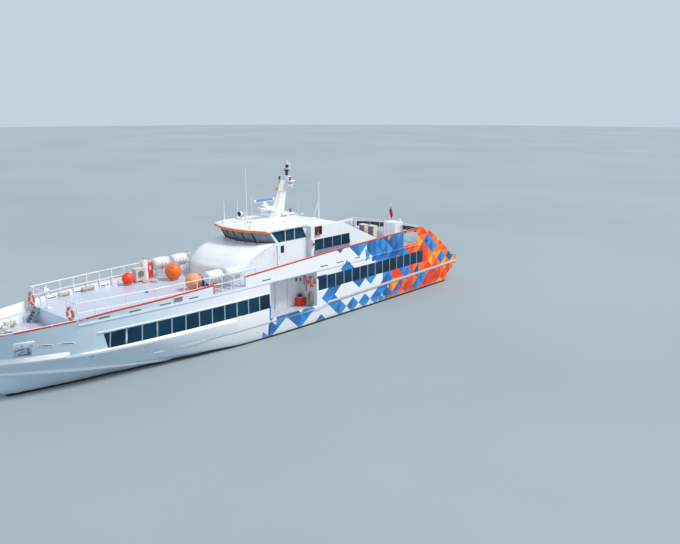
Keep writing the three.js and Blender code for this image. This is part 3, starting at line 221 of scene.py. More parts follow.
white_enamel = enamel("white enamel", WHITE)
cream_enamel = enamel("cream enamel", (0.8, 0.73, 0.58), 0.4, 0.22)
red_enamel = enamel("red enamel", (0.72, 0.035, 0.02), 0.35, 0.15)
fresh_white = enamel("fresh white", (0.93, 0.93, 0.94), 0.4, 0.03)
orange_enamel = enamel("orange band", (1, 0.26, 0.015), 0.45, 0.04)
stripe_enamel = enamel("vermilion stripe", (1, 0.075, 0.008), 0.45, 0.04)
blue_enamel = enamel("blue enamel", (0.07, 0.3, 0.62), 0.35, 0.12)
black_enamel = enamel("black enamel", (0.02, 0.022, 0.025), 0.4, 0.1)
grey_enamel = enamel("grey enamel", (0.35, 0.37, 0.4), 0.45, 0.2)
print("paints made:", len(bpy.data.materials))

# %% [markdown]
# The ship wears a harlequin: a lattice of diamonds, each split into a light and a dark half, some
# upright and some level. Two slanted counts cross on the side, and where both counts step, a new
# diamond starts. Chance numbers settle for each diamond whether it is painted, how it is split and
# in which colours. Toward the stern all are painted, mostly in warm colours, then blues follow, and
# they thin out to bare white by midships. Below the ledge at the bow, and on the forward faces that
# do not face up, a pale sea grey is painted shade, and a black boot top marks the waterline.

# %% Hull paint with the harlequin
DIAMOND_WIDE = 1.3
DIAMOND_HIGH = 1.12
BOOT_TOP = 0.13
ANTIFOULING_TOP = -0.05
# The sea grey below is painted shade on the bow, not a colour of the hull's own paint
BOW_SHADE_GREY = (0.52, 0.69, 0.82)
DECK_GREY = (0.5, 0.54, 0.66)
VERMILION = (0.92, 0.045, 0)
TANGERINE = (1, 0.17, 0)
AMBER = (1, 0.42, 0)
SKY = (0.02, 0.28, 0.7)
COBALT = (0.012, 0.15, 0.46)


def steps(g, value, choices):
    """Picks one of several colours by a number from 0 to 1."""
    ramp = g.node("ShaderNodeValToRGB", {"Fac": value})
    ramp.color_ramp.interpolation = "CONSTANT"
    while len(ramp.color_ramp.elements) < len(choices):
        ramp.color_ramp.elements.new(0.5)
    for element, (start, colour) in zip(ramp.color_ramp.elements, choices):
        element.position = start
        element.color = (*colour, 1)
    return ramp.outputs["Color"]


def hull_paint(name):
    g = Graph(name, 0.3, Coat_Weight=0.08, Coat_Roughness=0.15, Specular_IOR_Level=0.35)
    x, y, z = g.split(g.place)
    nx, ny, nz = g.facing()
    outward = g.above(g.times(ny, y), 0.3)
    astern = g.below(nx, -0.6)
    along = g.node("ShaderNodeMix", {"Factor": astern, "A": x, "B": g.plus(y, -19.2)}).outputs[0]
    across = g.math("DIVIDE", along, DIAMOND_WIDE)
    up = g.math("DIVIDE", z, DIAMOND_HIGH)
    rising, falling = g.plus(across, up), g.math("SUBTRACT", across, up)
    cell = g.node("ShaderNodeCombineXYZ", {0: g.math("FLOOR", rising), 1: g.math("FLOOR", falling),
            2: 3.0})
    chance = g.node("ShaderNodeTexWhiteNoise", {"Vector": cell.outputs[0]}, noise_dimensions="3D")
    pick, pick_tone, pick_colour = g.split(chance.outputs["Color"])
    rise, fall = g.math("FRACT", rising), g.math("FRACT", falling)
    upright = g.above(g.plus(rise, fall), 1)
    level_split = g.above(rise, fall)
    turn_cell = g.node("ShaderNodeCombineXYZ", {0: g.math("FLOOR", rising), 1: g.math("FLOOR", falling),
            2: 8.0})
    turn = g.node("ShaderNodeTexWhiteNoise", {"Vector": turn_cell.outputs[0]}, noise_dimensions="3D")
    sideways = g.above(turn.outputs["Value"], 0.5)
    half = g.node("ShaderNodeMix", {"Factor": sideways, "A": upright, "B": level_split}).outputs[0]
    # Low down the diamonds reach further forward than they do above the window row
    low = g.math("MAXIMUM", g.spread(along, 2.4, 0.2, 0, 0.35), g.spread(along, -8.6, -10.6))
    high = g.math("MAXIMUM", g.spread(along, -4.4, -5.4, 0, 0.3), g.spread(along, -7.4, -8.6))
    cover = g.node("ShaderNodeMix", {"Factor": g.spread(z, 3.15, 3.35), "A": low, "B": high}).outputs[0]
    warm = g.below(pick_tone, g.spread(along, -14.6, -9.6, 0.82, 0))
    light = g.mix(warm, steps(g, pick_colour, [(0, SKY), (0.6, COBALT), (0.85, SKY)]),
        steps(g, pick_colour, [(0, TANGERINE), (0.34, VERMILION), (0.6, AMBER), (0.84, TANGERINE)]))
    dark = g.mix(warm, steps(g, pick_colour, [(0, COBALT), (0.6, shade(COBALT, 0.6)),
            (0.85, shade(SKY, 0.75))]), steps(g, pick_colour,
            [(0, VERMILION), (0.34, shade(VERMILION, 0.7)), (0.6, TANGERINE), (0.84, AMBER)]))
    diamond = g.mix(half, light, dark)
    painted = g.times(g.below(pick, cover), g.math("MAXIMUM", outward, astern))
    patches, streaks = g.noise(0.5, 4), g.noise(4.0, 3, (1, 1, 0.06))
    # Painted shade: low on the bow, and on forward faces that don't face up, the white turns sea grey
    bow_shade_share = g.times(g.spread(g.plus(z, g.spread(x, 4.0, 13.0, 3.2, 0)), 3.9, 2.1, 0, 1),
        g.spread(x, 0, 8.0))
    flare_shade = g.times(g.spread(x, 4.0, 11.0), g.spread(nz, 0.35, -0.1))
    bare = g.mix(g.times(g.math("MAXIMUM", bow_shade_share, flare_shade), 0.75), WHITE, BOW_SHADE_GREY)
    coat = g.mix(painted, bare, diamond)
    # The rubbing rail is bare: a pale sloped strip, with a blue-grey band of painted shade under it
    rail = g.math("SUBTRACT", z, g.spread(x, -19.8, -4.1, 1.56, 1.27))
    on_rail = g.times(g.below(g.math("ABSOLUTE", rail), 0.11), g.below(x, -3.9))
    coat = g.mix(on_rail, coat, g.mix(g.above(rail, -0.02), (0.4, 0.47, 0.55), (0.7, 0.71, 0.72)))
    top = g.above(nz, 0.75)
    level = g.times(top, g.above(z, 1))
    tracks, grain = g.noise(0.6, 5), g.noise(90, 2)
    deck = g.mix(g.spread(tracks, 0.3, 0.72), DECK_GREY, shade(DECK_GREY, 0.86))
    deck = g.mix(g.spread(grain, 0.55, 0.75, 0, 0.25), deck, shade(DECK_GREY, 1.2))
    coat = g.mix(g.times(level, 0.92), coat, deck)
    worn = g.times(g.spread(streaks, 0.55, 0.8), g.spread(patches, 0.35, 0.7))
    coat = g.mix(g.times(worn, 0.16), coat, (0.45, 0.4, 0.34))
    coat = g.mix(g.spread(patches, 0.35, 0.75, 0, 0.05), coat, (0.7, 0.74, 0.78))
    wet_edge = g.plus(z, g.times(g.noise(2.5, 3), 0.06))
    coat = g.mix(g.spread(wet_edge, BOOT_TOP + 0.31, BOOT_TOP + 0.04, 0, 0.35), coat, (0.42, 0.43, 0.38))
    coat = g.mix(g.below(wet_edge, BOOT_TOP + 0.03), coat, (0.02, 0.022, 0.025))
    coat = g.mix(g.below(wet_edge, ANTIFOULING_TOP), coat, (0.1, 0.025, 0.02))
    g.bump(g.plus(g.times(g.noise(0.9, 2), 1), g.times(g.noise(60, 2), 0.05)), 0.012, 0.35)
    return g.done(coat, g.spread(patches, 0.2, 0.8, 0.24, 0.42))


hull_coat = hull_paint("hull paint")

# %% [markdown]
# The windows are tinted glass with nothing to see behind them, so a glossy dark coat over the
# closed plates of the model does the work of glass. A faint spread of dried salt dulls it here and
# there.

# %% Glass, metal, rubber and cloth
def dark_glass(name, colour, deep):
    g = Graph(name, 0.1, Specular_IOR_Level=0.22)
    salt, panes = g.noise(14, 4), g.noise(0.45, 1)
    tone = g.mix(g.spread(panes, 0.4, 0.62), colour, deep)
    tone = g.mix(g.spread(salt, 0.58, 0.85, 0, 0.06), tone, (0.3, 0.38, 0.44))
    g.bump(panes, 0.01, 0.12)
    return g.done(tone, g.spread(salt, 0.4, 0.8, 0.07, 0.2))


def metal(name, colour, rough, grime):
    g = Graph(name, rough, 1)
    wear, scratch = g.noise(6, 4), g.noise(40, 2, (1, 1, 0.15))
    tone = g.mix(g.spread(wear, 0.45, 0.7), colour, grime)
    g.bump(scratch, 0.001, 0.3)
    return g.done(tone, g.spread(wear, 0.3, 0.75, rough * 0.8, min(1, rough * 1.8)))


def rubber(name, colour=(0.025, 0.026, 0.028), rough=0.65):
    g = Graph(name, rough)
    scuff, grain = g.noise(9, 4), g.noise(120, 2)
    g.bump(grain, 0.001, 0.4)
    return g.done(g.mix(g.spread(scuff, 0.5, 0.75), colour, tuple(c * 1.6 + 0.02 for c in colour)),
        g.spread(scuff, 0.3, 0.7, rough * 0.85, min(1, rough * 1.25)))


def moulded(name, colour, rough=0.38):
    g = Graph(name, rough, Subsurface_Weight=0.05)
    bloom, grime, pores = g.noise(2.2, 3), g.noise(7, 5), g.noise(70, 2)
    tone = g.mix(g.spread(bloom, 0.35, 0.7), colour, tuple(min(1, c * 0.85 + 0.05) for c in colour))
    tone = g.mix(g.spread(grime, 0.58, 0.78, 0, 0.4), tone, shade(colour, 0.4))
    g.bump(pores, 0.0015, 0.35)
    return g.done(tone, g.spread(bloom, 0.3, 0.7, rough * 0.85, rough * 1.5))


def cloth(name, colour, thread=260.0):
    g = Graph(name, 0.85, Sheen_Weight=0.3, Sheen_Roughness=0.5)
    weave_a = g.node("ShaderNodeTexWave", {"Vector": g.place, "Scale": thread},
        bands_direction="X").outputs["Fac"]
    weave_b = g.node("ShaderNodeTexWave", {"Vector": g.place, "Scale": thread},
        bands_direction="Z").outputs["Fac"]
    fade = g.noise(3, 4)
    tone = g.mix(g.spread(fade, 0.3, 0.7), colour, shade(colour, 0.72))
    g.bump(g.times(weave_a, weave_b), 0.001, 0.5)
    return g.done(tone, g.spread(fade, 0.3, 0.7, 0.75, 0.95))


def rope_lay(name, colour):
    g = Graph(name, 0.9)
    strand = g.node("ShaderNodeTexWave", {"Vector": g.place, "Scale": 22.0, "Distortion": 1.5,
            "Detail": 2.0}, bands_direction="DIAGONAL").outputs["Fac"]
    fibre = g.noise(60, 3)
    # Painted shade: the tone darkens in the grooves between the strands
    tone = g.mix(g.spread(strand, 0.2, 0.8), shade(colour, 0.6), colour)
    tone = g.mix(g.spread(fibre, 0.5, 0.8, 0, 0.35), tone, shade(colour, 0.45))
    g.bump(strand, 0.008, 0.7)
    return g.done(tone, g.spread(fibre, 0.3, 0.7, 0.8, 1))


window_glass = dark_glass("tinted window glass", (0.003, 0.045, 0.085), (0.001, 0.02, 0.045))


def bridge_pane_glass(name):
    """Lighter toward the top of the front panes, painted light for daylight seen through them, and teal
    at the sides.
    """
    g = Graph(name, 0.1, Specular_IOR_Level=0.3)
    z = g.split(g.place)[2]
    blur, patch = g.noise(2.2, 3), g.noise(5.0, 2)
    # Painted light: the front panes lighten toward the top as daylight seen through them
    front = g.mix(g.spread(g.plus(z, g.times(blur, 0.25)), 5.98, 6.32), (0.045, 0.045, 0.075),
        (0.3, 0.31, 0.36))
    front = g.mix(g.spread(patch, 0.55, 0.75, 0, 0.5), front, (0.12, 0.14, 0.2))
    side = g.mix(g.spread(blur, 0.4, 0.62), (0.004, 0.06, 0.115), (0.002, 0.028, 0.06))
    on_side = g.spread(g.facing()[0], 0.25, 0.15)
    g.bump(patch, 0.006, 0.1)
    return g.done(g.mix(on_side, front, side), g.spread(patch, 0.3, 0.8, 0.08, 0.2))


bridge_glass = bridge_pane_glass("bridge window glass")
steel = metal("brushed steel", (0.55, 0.57, 0.6), 0.3, (0.3, 0.27, 0.25))
bronze = metal("propeller bronze", (0.55, 0.38, 0.16), 0.35, (0.16, 0.2, 0.12))
black_rubber = rubber("black rubber")
gasket_rubber = rubber("window gasket", (0.04, 0.045, 0.05), 0.55)
red_buoy_skin = moulded("red buoy skin", (0.96, 0.05, 0))
orange_buoy_skin = moulded("orange buoy skin", (1, 0.15, 0))
pale_buoy_skin = moulded("faded buoy skin", (0.97, 0.34, 0.14), 0.5)
ring_foam = moulded("lifebuoy foam", (0.9, 0.12, 0.03), 0.45)
canister_shell = moulded("raft canister shell", (0.82, 0.84, 0.85), 0.3)
chest_plastic = moulded("red chest plastic", (1, 0.018, 0.006), 0.4)
lamp_lens = moulded("amber lens", (0.95, 0.3, 0.05), 0.15)
flag_cloth = cloth("flag cloth", (0.72, 0.03, 0.03))
seat_cloth = cloth("seat cloth", (0.035, 0.055, 0.14), 180)
canvas = cloth("cream canvas", (0.66, 0.56, 0.42), 160)
cream_rope = rope_lay("cream rope", (0.78, 0.68, 0.48))
red_hose_skin = rubber("red hose", (0.55, 0.03, 0.03), 0.55)
print("materials made:", len(bpy.data.materials))

# %% [markdown]
# The frame's meshes arrive with their corners split and their shading fixed. A short geometry-node
# modifier joins the corners again and shades gentle bends smooth, and leaves real edges sharp. It
# changes only the shading, so the solids stay what they are.

# %% Shading of the carried-over solids
SHARP_FROM = math.radians(28)


def shading_group():
    group = bpy.data.node_groups.new("even shading", "GeometryNodeTree")
    group.interface.new_socket("Geometry", in_out="INPUT", socket_type="NodeSocketGeometry")
    group.interface.new_socket("Geometry", in_out="OUTPUT", socket_type="NodeSocketGeometry")
    make, join = group.nodes.new, group.links.new
    entry, leave = make("NodeGroupInput"), make("NodeGroupOutput")
    merge, drop = make("GeometryNodeMergeByDistance"), make("GeometryNodeRemoveAttribute")
    merge.inputs["Distance"].default_value = 0.0001
    drop.inputs["Name"].default_value = "custom_normal"
    faces, edges = make("GeometryNodeSetShadeSmooth"), make("GeometryNodeSetShadeSmooth")
    faces.domain, edges.domain = "FACE", "EDGE"
    angle, wide = make("GeometryNodeInputMeshEdgeAngle"), make("FunctionNodeCompare")
    wide.operation = "GREATER_THAN"
    wide.inputs[1].default_value = SHARP_FROM
    join(entry.outputs[0], merge.inputs["Geometry"])
    join(merge.outputs[0], drop.inputs["Geometry"])
    join(drop.outputs[0], faces.inputs["Geometry"])
    faces.inputs["Shade Smooth"].default_value = True
    join(faces.outputs[0], edges.inputs["Geometry"])
    join(angle.outputs["Unsigned Angle"], wide.inputs[0])
    join(wide.outputs[0], edges.inputs["Selection"])
    edges.inputs["Shade Smooth"].default_value = False
    join(edges.outputs[0], leave.inputs[0])
    return group


even_shading = shading_group()
SIDES = (("port", 1), ("starboard", -1))


def both(*names):
    """The names of a port and a starboard piece for each name."""
    return [f"{name}_{side}" for name in names for side, turn in SIDES]


COATS = {
    hull_coat: ["hull", "bow_bulwark", "upper_deck",
                *both("forward_wall", "aft_wall", "forward_side", "aft_side")],
    white_enamel: ["lobby_walls", "stern_bulkhead", "cross_bulwark", "foredeck_rails", "deckhouse",
                   "lounge", "lounge_roof_gear", "mast", "bridge_roof", "stern_door", "searchlight",
                   "air_units_aft", *both("boarding_door", "bridge_door", "rafts")],
    window_glass: both("forward_glazing", "aft_glazing", "lounge_glazing"),
    bridge_glass: ["bridge_glazing"],
    seat_cloth: ["forward_seats", "aft_seats", "lounge_seats"],
    grey_enamel: ["bridge_fittings", "windlass"],
    blue_enamel: ["radar_scanner"],
    cream_enamel: ["deck_boxes_forward", "bow_hatch_lid"],
    red_buoy_skin: ["fender_red"],
    orange_buoy_skin: ["fender_orange"],
    pale_buoy_skin: ["fender_pale"],
    steel: ["bow_ladder", *both("rudder")],
    chest_plastic: ["red_chest"],
    bronze: both("propeller"),
}
for coat, members in COATS.items():
    for member in members:
        solid = nodes[member]
        solid.data.materials.clear()
        solid.data.materials.append(coat)
        solid.modifiers.new("even shading", "NODES").node_group = even_shading
# Painted tube looks stouter than bare tube, so the rails get a thick coat
rail_coat = nodes["foredeck_rails"].modifiers.new("thick coat", "DISPLACE")
rail_coat.strength, rail_coat.mid_level = 0.009, 0
undressed = sorted(set(nodes) - {m for members in COATS.values() for m in members})
print("dressed nodes:", len(nodes) - len(undressed), "left over:", undressed)

# %% [markdown]
# New pieces start as lists of corners and faces. A maker collects them: a box, a bent tube, a
# turned profile or a skin through rows of points. It keeps a finish for each face, so one piece can
# be paint and rubber at once. Where a piece asks for it, a bevel then takes the sharpness off its
# sharp edges, as a real edge has none.

# %% Maker of new pieces
def axes_about(way):
    """The direction as a unit vector, and two more at right angles to it."""
    way = Vector(way).normalized()
    side = way.orthogonal().normalized()
    return way, side, way.cross(side)


def spoke(side, lift, a):
    return side * math.cos(a) + lift * math.sin(a)


def round_row(centre, side, lift, r, count):
    """Points round a circle, or round an oval where side and lift differ in length."""
    return [centre + spoke(side, lift, 2 * math.pi * k / count) * r for k in range(count)]


class Maker:
    def __init__(self):
        self.corners, self.faces, self.finishes = [], [], []
        self.finish = 0

    def add(self, corners, faces):
        start = len(self.corners)
        self.corners += [Vector(c) for c in corners]
        self.faces += [[start + i for i in face] for face in faces]
        self.finishes += [self.finish] * len(faces)
        return self

    def coat(self, finish):
        """Sets the finish of the faces that follow."""
        self.finish = finish
        return self

    def skin(self, rows, loop=False, close=False):
        """A skin through rows of points. loop joins each row's ends, close fills the end rows."""
        wide = len(rows[0])
        reach = wide if loop else wide - 1
        faces = [[r * wide + i, r * wide + (i + 1) % wide, (r + 1) * wide + (i + 1) % wide,
                (r + 1) * wide + i] for r in range(len(rows) - 1) for i in range(reach)]
        if close:
            last = (len(rows) - 1) * wide
            faces += [list(range(wide))[::-1], [last + i for i in range(wide)]]
        return self.add([p for row in rows for p in row], faces)

    def block(self, low, high):
        (x0, y0, z0), (x1, y1, z1) = low, high
        return self.skin([[(x0, y0, z), (x1, y0, z), (x1, y1, z), (x0, y1, z)] for z in (z0, z1)], True,
            True)

    def prism(self, outline, axis, low, high):
        """A flat outline pushed along X, Y or Z. The outline holds the other two coordinates."""
        def spot(u, v, w):
            return {"x": (w, u, v), "y": (u, w, v), "z": (u, v, w)}[axis]
        return self.skin([[spot(u, v, w) for u, v in outline] for w in (low, high)], True, True)

    def tube(self, path, radius, sides=10, loop=False):
        path = [Vector(p) for p in path]
        count = len(path)
        side = None
        rows = []
        for i, point in enumerate(path):
            before = path[(i - 1) % count] if loop or i else point
            after = path[(i + 1) % count] if loop or i + 1 < count else point
            way = (after - before).normalized()
            if side is None:
                side = way.orthogonal().normalized()
            side = (side - way * side.dot(way)).normalized()
            lift = way.cross(side)
            r = radius[i] if isinstance(radius, (list, tuple)) else radius
            rows.append(round_row(point, side, lift, r, sides))
        if loop:
            rows.append(rows[0])
        return self.skin(rows, True, not loop)

    def turned(self, profile, centre, way=(0, 0, 1), sides=24):
        """A profile of (radius, height) pairs turned about a line through centre."""
        way, side, lift = axes_about(way)
        centre = Vector(centre)
        rows = [round_row(centre + way * h, side, lift, max(r, 0.0005), sides) for r, h in profile]
        return self.skin(rows, True, True)

    def plate(self, rows, push):
        """A closed thin plate: rows of points, and the same rows moved back by push."""
        push = Vector(push)
        back = [[Vector(p) - push for p in row] for row in rows]
        rim = [p for p in rows[0]] + [row[-1] for row in rows[1:]] + rows[-1][-2::-1] + [row[0]
            for row in rows[-2:0:-1]]
        self.skin(rows)
        self.skin(back)
        return self.skin([rim, [Vector(p) - push for p in rim]], True)

    def ring(self, centre, way, big, small, around=40, sides=12, squash=1.0):
        way, side, lift = axes_about(way)
        rows = []
        for k in range(around + 1):
            out = spoke(side, lift, 2 * math.pi * k / around)
            rows.append(round_row(Vector(centre) + out * big, out, way * squash, small, sides))
        return self.skin(rows, True)

    def staple(self, a, b, push, radius, sides=8):
        """A bent handle from a to b that stands off by push."""
        a, b, push = Vector(a), Vector(b), Vector(push)
        return self.tube([a, a + push, b + push, b], radius, sides)

    def piece(self, name, finishes, slot, body="ship", bevel=0.0, stands_for=(), smooth_to=40):
        mesh = bpy.data.meshes.new(name)
        mesh.from_pydata(self.corners, [], self.faces)
        finishes = finishes if isinstance(finishes, (list, tuple)) else [finishes]
        for finish in finishes:
            mesh.materials.append(finish)
        mesh.polygons.foreach_set("material_index", self.finishes)
        shape = bmesh.new()
        shape.from_mesh(mesh)
        bmesh.ops.remove_doubles(shape, verts=shape.verts, dist=0.0002)
        bmesh.ops.dissolve_degenerate(shape, edges=shape.edges, dist=0.0001)
        bmesh.ops.recalc_face_normals(shape, faces=shape.faces)
        shape.to_mesh(mesh)
        shape.free()
        mesh.polygons.foreach_set("use_smooth", [True] * len(mesh.polygons))
        mesh.set_sharp_from_angle(angle=math.radians(smooth_to))
        made = put(name, mesh)
        if bevel:
            softened = made.modifiers.new("soft edges", "BEVEL")
            softened.width = bevel
            softened.segments = 2
            softened.limit_method = "ANGLE"
            softened.angle_limit = math.radians(50)
            softened.harden_normals = True
        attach(made, body)
        if stands_for:
            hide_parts(*stands_for)
        return made


def curve_through(points, steps=6):
    """A smooth open curve through the points."""
    points = [Vector(p) for p in points]
    ends = [points[0] * 2 - points[1], *points, points[-1] * 2 - points[-2]]
    line = []
    for a, b, c, d in zip(ends, ends[1:], ends[2:], ends[3:]):
        for k in range(steps):
            t = k / steps
            line.append(0.5 * ((2 * b) + (c - a) * t + (2 * a - 5 * b + 4 * c - d) * t * t
                               + (3 * b - a - 3 * c + d) * t ** 3))
    return line + [points[-1]]


def between(a, b, t):
    return a + (b - a) * t

# %% [markdown]
# Trim has to lie on the ship's curved side. A ray shot in from far outboard finds the skin at any
# length and height, so stripes and plates take their breadth from the frame and not from guesses.

# %% Rays onto the ship's side
FAR_OUT = 9.0


def tree_of(*names):
    corners, faces = [], []
    for name in names:
        start = len(corners)
        mesh = nodes[name].data
        corners += [v.co.copy() for v in mesh.vertices]
        faces += [[start + i for i in p.vertices] for p in mesh.polygons]
    return BVHTree.FromPolygons(corners, faces)


edge_tree = tree_of("bow_bulwark", "forward_side_port", "aft_side_port")
side_tree = tree_of("hull", "bow_bulwark", "forward_side_port", "aft_side_port", "forward_wall_port",
    "aft_wall_port", "upper_deck")


def breadth(x, z, tree=None):
    """Half breadth of the port side at x and z, or None in an opening."""
    hit = (tree or side_tree).ray_cast(Vector((x, FAR_OUT, z)), Vector((0, -1, 0)))
    return hit[0].y if hit[0] else None


def top_edge(x, ceiling=5.6, step=0.04):
    """Height of the top edge of the port side at x, found from above."""
    def solid(z):
        y = breadth(x, z, edge_tree)
        return y is not None and y > 0.02
    while not solid(ceiling):
        ceiling -= step
    low, high = ceiling, ceiling + step
    for _ in range(9):
        middle = (low + high) / 2
        low, high = (middle, high) if solid(middle) else (low, middle)
    return low


print("top edge at", [(x, round(top_edge(x), 3)) for x in (-14, -5, 0, 8, 15)])

# %% [markdown]
# A vermilion stripe runs along the top edge of the sides. On the ship it is paint on the edge's
# outer face and over its cap. Here it is a thin ribbon folded over the edge, three millimetres
# proud, which stays crisp at any distance. It stops at the gap beside the rafts, with an upright
# bar at its end.

# %% Stripe along the sides
STRIPE_HIGH = 0.092
STRIPE_PROUD = 0.003
CAP_WIDE = 0.024
GAP_FORE, GAP_AFT = 5.6, 3.3


def stripe_rows(x0, x1, count):
    rows = []
    for i in range(count + 1):
        x = between(x0, x1, i / count)
        z = top_edge(x)
        y_low = breadth(x, z - STRIPE_HIGH, edge_tree) + STRIPE_PROUD
        y_high = max(breadth(x, z - 0.004, edge_tree), breadth(x, z - 0.02, edge_tree)) + STRIPE_PROUD
        rows.append([(x, y_low, z - STRIPE_HIGH), (x, y_high, z + STRIPE_PROUD),
                (x, y_high - CAP_WIDE, z + STRIPE_PROUD), (x, y_high - CAP_WIDE, z - 0.02)])
    return rows


def on_side(rows, turn):
    """The rows as they are for port (turn 1), or mirrored for starboard (turn -1)."""
    return [[(x, turn * y, z) for x, y, z in row] for row in rows]


runs = [stripe_rows(GAP_FORE + 0.003, 19.3, 90), stripe_rows(-14.68, GAP_AFT - 0.003, 100)]
bar_top = top_edge(GAP_FORE + 0.05)
bar_rows = []
for k in range(9):
    z = between(3.79, bar_top - 0.01, k / 8)
    y = breadth(GAP_FORE + 0.05, z, edge_tree) + STRIPE_PROUD
    bar_rows.append([(GAP_FORE + 0.09, y, z), (GAP_FORE - 0.002, y, z),
            (GAP_FORE - 0.002, y - CAP_WIDE, z)])
for side, turn in SIDES:
    stripe = Maker()
    for rows in [*runs, bar_rows]:
        stripe.skin(on_side(rows, turn))
    made = stripe.piece(f"side_stripe_{side}", stripe_enamel, "red_plastic")
    made.modifiers.new("thickness", "SOLIDIFY").thickness = 0.002
print("stripe ends at", round(bar_top, 2))

# %% [markdown]
# The bridge front is a blown shape: no flat panel in it. The solid has a few straight facets, so a
# skin with more rows and columns is drawn through the same corners. Between corners a smooth curve
# swells a little outward, so the skin always lies on the solid and never dips into it.

# %% Smooth dome under the bridge windows
HALF = 2.5
FRONT_PLAN = [(0, 0), (0.06, 0.26), (0.23, 0.52), (0.52, 0.76), (0.9, 0.92), (1.35, 1)]
BROW_PLAN = [(0, 0), (0.03, 0.26), (0.1, 0.52), (0.26, 0.76), (0.6, 0.92), (1.3, 1)]
VISOR_PLAN = [(0, 0), (0.04, 0.26), (0.17, 0.52), (0.41, 0.76), (0.56, 0.92), (0.77, 1)]
DOME = [(3.79, 4.013, 0), (4.2, 3.985, 0), (4.63, 3.95, 0), (4.95, 3.64, 0.15), (5.25, 3.21, 0.4),
    (5.55, 2.45, 0.7), (5.8, 1.48, 1)]


def plan_curve(plan, front, half, z, aft, proud):
    """A level's outline, from the starboard side round the front to port, smooth between its corners."""
    port = [Vector((front - dx + proud, f * (half + proud), z)) for dx, f in plan]
    port.append(Vector((min(aft, port[-1].x - 0.2), half + proud, z)))
    outline = [Vector((p.x, -p.y, p.z)) for p in reversed(port[1:])] + port
    return curve_through(outline, 5)


def mixed(plan_a, plan_b, share):
    return [(between(a, c, share), f) for (a, f), (c, _) in zip(plan_a, plan_b)]


levels = curve_through([(z, front, brow) for z, front, brow in DOME], 4)
DOME_PROUD = 0.006
dome_rows = [plan_curve(mixed(FRONT_PLAN, BROW_PLAN, level.z), level.y, HALF - 0.03 * level.z, level.x,
        level.y - 1.7, DOME_PROUD) for level in levels]
top_row = dome_rows[-1]
dome_rows.append([Vector((between(p.x, 0.2, 0.5), p.y * 0.8, 5.808)) for p in top_row])
dome = Maker().skin(dome_rows)
bridge_dome = dome.piece("bridge_dome", white_enamel, "white_paint", smooth_to=50)
print("dome rows:", len(dome_rows), "columns:", len(dome_rows[0]))

# %% [markdown]
# The roof over the bridge is one moulding too: a visor that stands out over the windows and a crown
# that runs back to the mast. The visor's edge carries an orange band. The whole roof is drawn anew
# and takes the solid's place, with the four whip aerials on their springs.

# %% Bridge roof, visor band and whips
HEAD = 6.6
ROOF_AFT = -3.04
ROOF = [(HEAD, 1.48, 2.52), (HEAD + 0.015, 1.55, 2.56), (HEAD + 0.125, 1.55, 2.56),
    (HEAD + 0.16, 1.5, 2.52), (HEAD + 0.21, 1.35, 2.38), (HEAD + 0.27, 1.15, 2.22),
    (HEAD + 0.335, 0.85, 2.0), (HEAD + 0.375, 0.5, 1.65), (HEAD + 0.398, 0.1, 1.25)]


def roof_ring(front, half, z):
    curve = plan_curve(VISOR_PLAN, front, half, z, 0.4, 0)
    aft = [Vector((ROOF_AFT, half, z)), Vector((ROOF_AFT, 0, z)), Vector((ROOF_AFT, -half, z))]
    return curve + aft


roof = Maker().skin([roof_ring(front, half, z) for z, front, half in ROOF], True, True)
WHIPS = [(0.32, -2.12, HEAD + 0.25, 1.3, 0.024), (-0.93, -2.2, HEAD + 0.25, 1.3, 0.024),
    (-1.12, -1.5, HEAD + 0.34, 3.4, 0.034), (-1.93, -1.9, HEAD + 0.32, 1.3, 0.024)]
for x, y, z, high, r in WHIPS:
    roof.coat(0).turned([(0.075, -0.06), (0.075, 0.03), (0.05, 0.045), (0.045, 0.16), (0.03, 0.17)],
        (x, y, z), sides=14)
    roof.tube([(x, y, z + 0.15), (x, y, z + high * 0.45)], r * 1.15, 8)
    roof.tube([(x, y, z + high * 0.44), (x, y, z + high)], r * 0.75, 8)
    roof.finish = 1
    for k in range(5):
        roof.ring((x, y, z + 0.175 + 0.016 * k), (0, 0, 1), 0.024, 0.007, 14, 6)
roof.coat(0).turned([(0.1, 0), (0.1, 0.02), (0.08, 0.04), (0.08, 0.132)], (-0.42, -1.21, HEAD + 0.3),
    sides=20)
bridge_roof = roof.piece("bridge_roof_shell", [white_enamel, steel], "white_paint",
    stands_for=["bridge_roof"], smooth_to=45)
BAND = [(HEAD - 0.028, 0), (HEAD - 0.022, 0.012), (HEAD + 0.128, 0.012), (HEAD + 0.135, 0)]
band_rows = []
for z, proud in BAND:
    ring_points = plan_curve(VISOR_PLAN, 1.55, 2.56, z, 0.4, 0.002 + proud)
    band_rows.append(ring_points[4:-4])
band = Maker().skin(band_rows)
band.piece("visor_band", orange_enamel, "orange_plastic", smooth_to=60).modifiers.new(
    "thickness", "SOLIDIFY").thickness = 0.002

# %% [markdown]
# Between the front windows stand dark pillars, each pane sits in a black gasket, and wipers park
# across the glass. The panes lean out at the top, so every bar follows the slope of the glass.

# %% Bridge window trim
SILL = 5.8
SILL_PLAN = [(0, 0), (0.06, 0.26), (0.24, 0.52), (0.54, 0.76), (0.9, 0.92), (1.25, 1)]
HEAD_PLAN = [(0, 0), (0.045, 0.26), (0.17, 0.52), (0.4, 0.76), (0.65, 0.92), (0.98, 1)]
WINDOW_BARS = [-2.33, -1.56, -0.78, 0, 0.78, 1.56, 2.33]


def front_at(y, share, proud=0.0):
    """A point on the bridge front: y across, share from the sill (0) to the head (1)."""
    def setback(plan, half):
        f = min(abs(y) / half, 1)
        for (d0, f0), (d1, f1) in zip(plan, plan[1:]):
            if f <= f1:
                return d0 + (d1 - d0) * (f - f0) / (f1 - f0)
        return plan[-1][0]
    low = 1.05 - setback(SILL_PLAN, 2.47)
    high = 1.42 - setback(HEAD_PLAN, 2.45)
    return Vector((between(low, high, share) + proud, y, between(SILL, HEAD, share)))


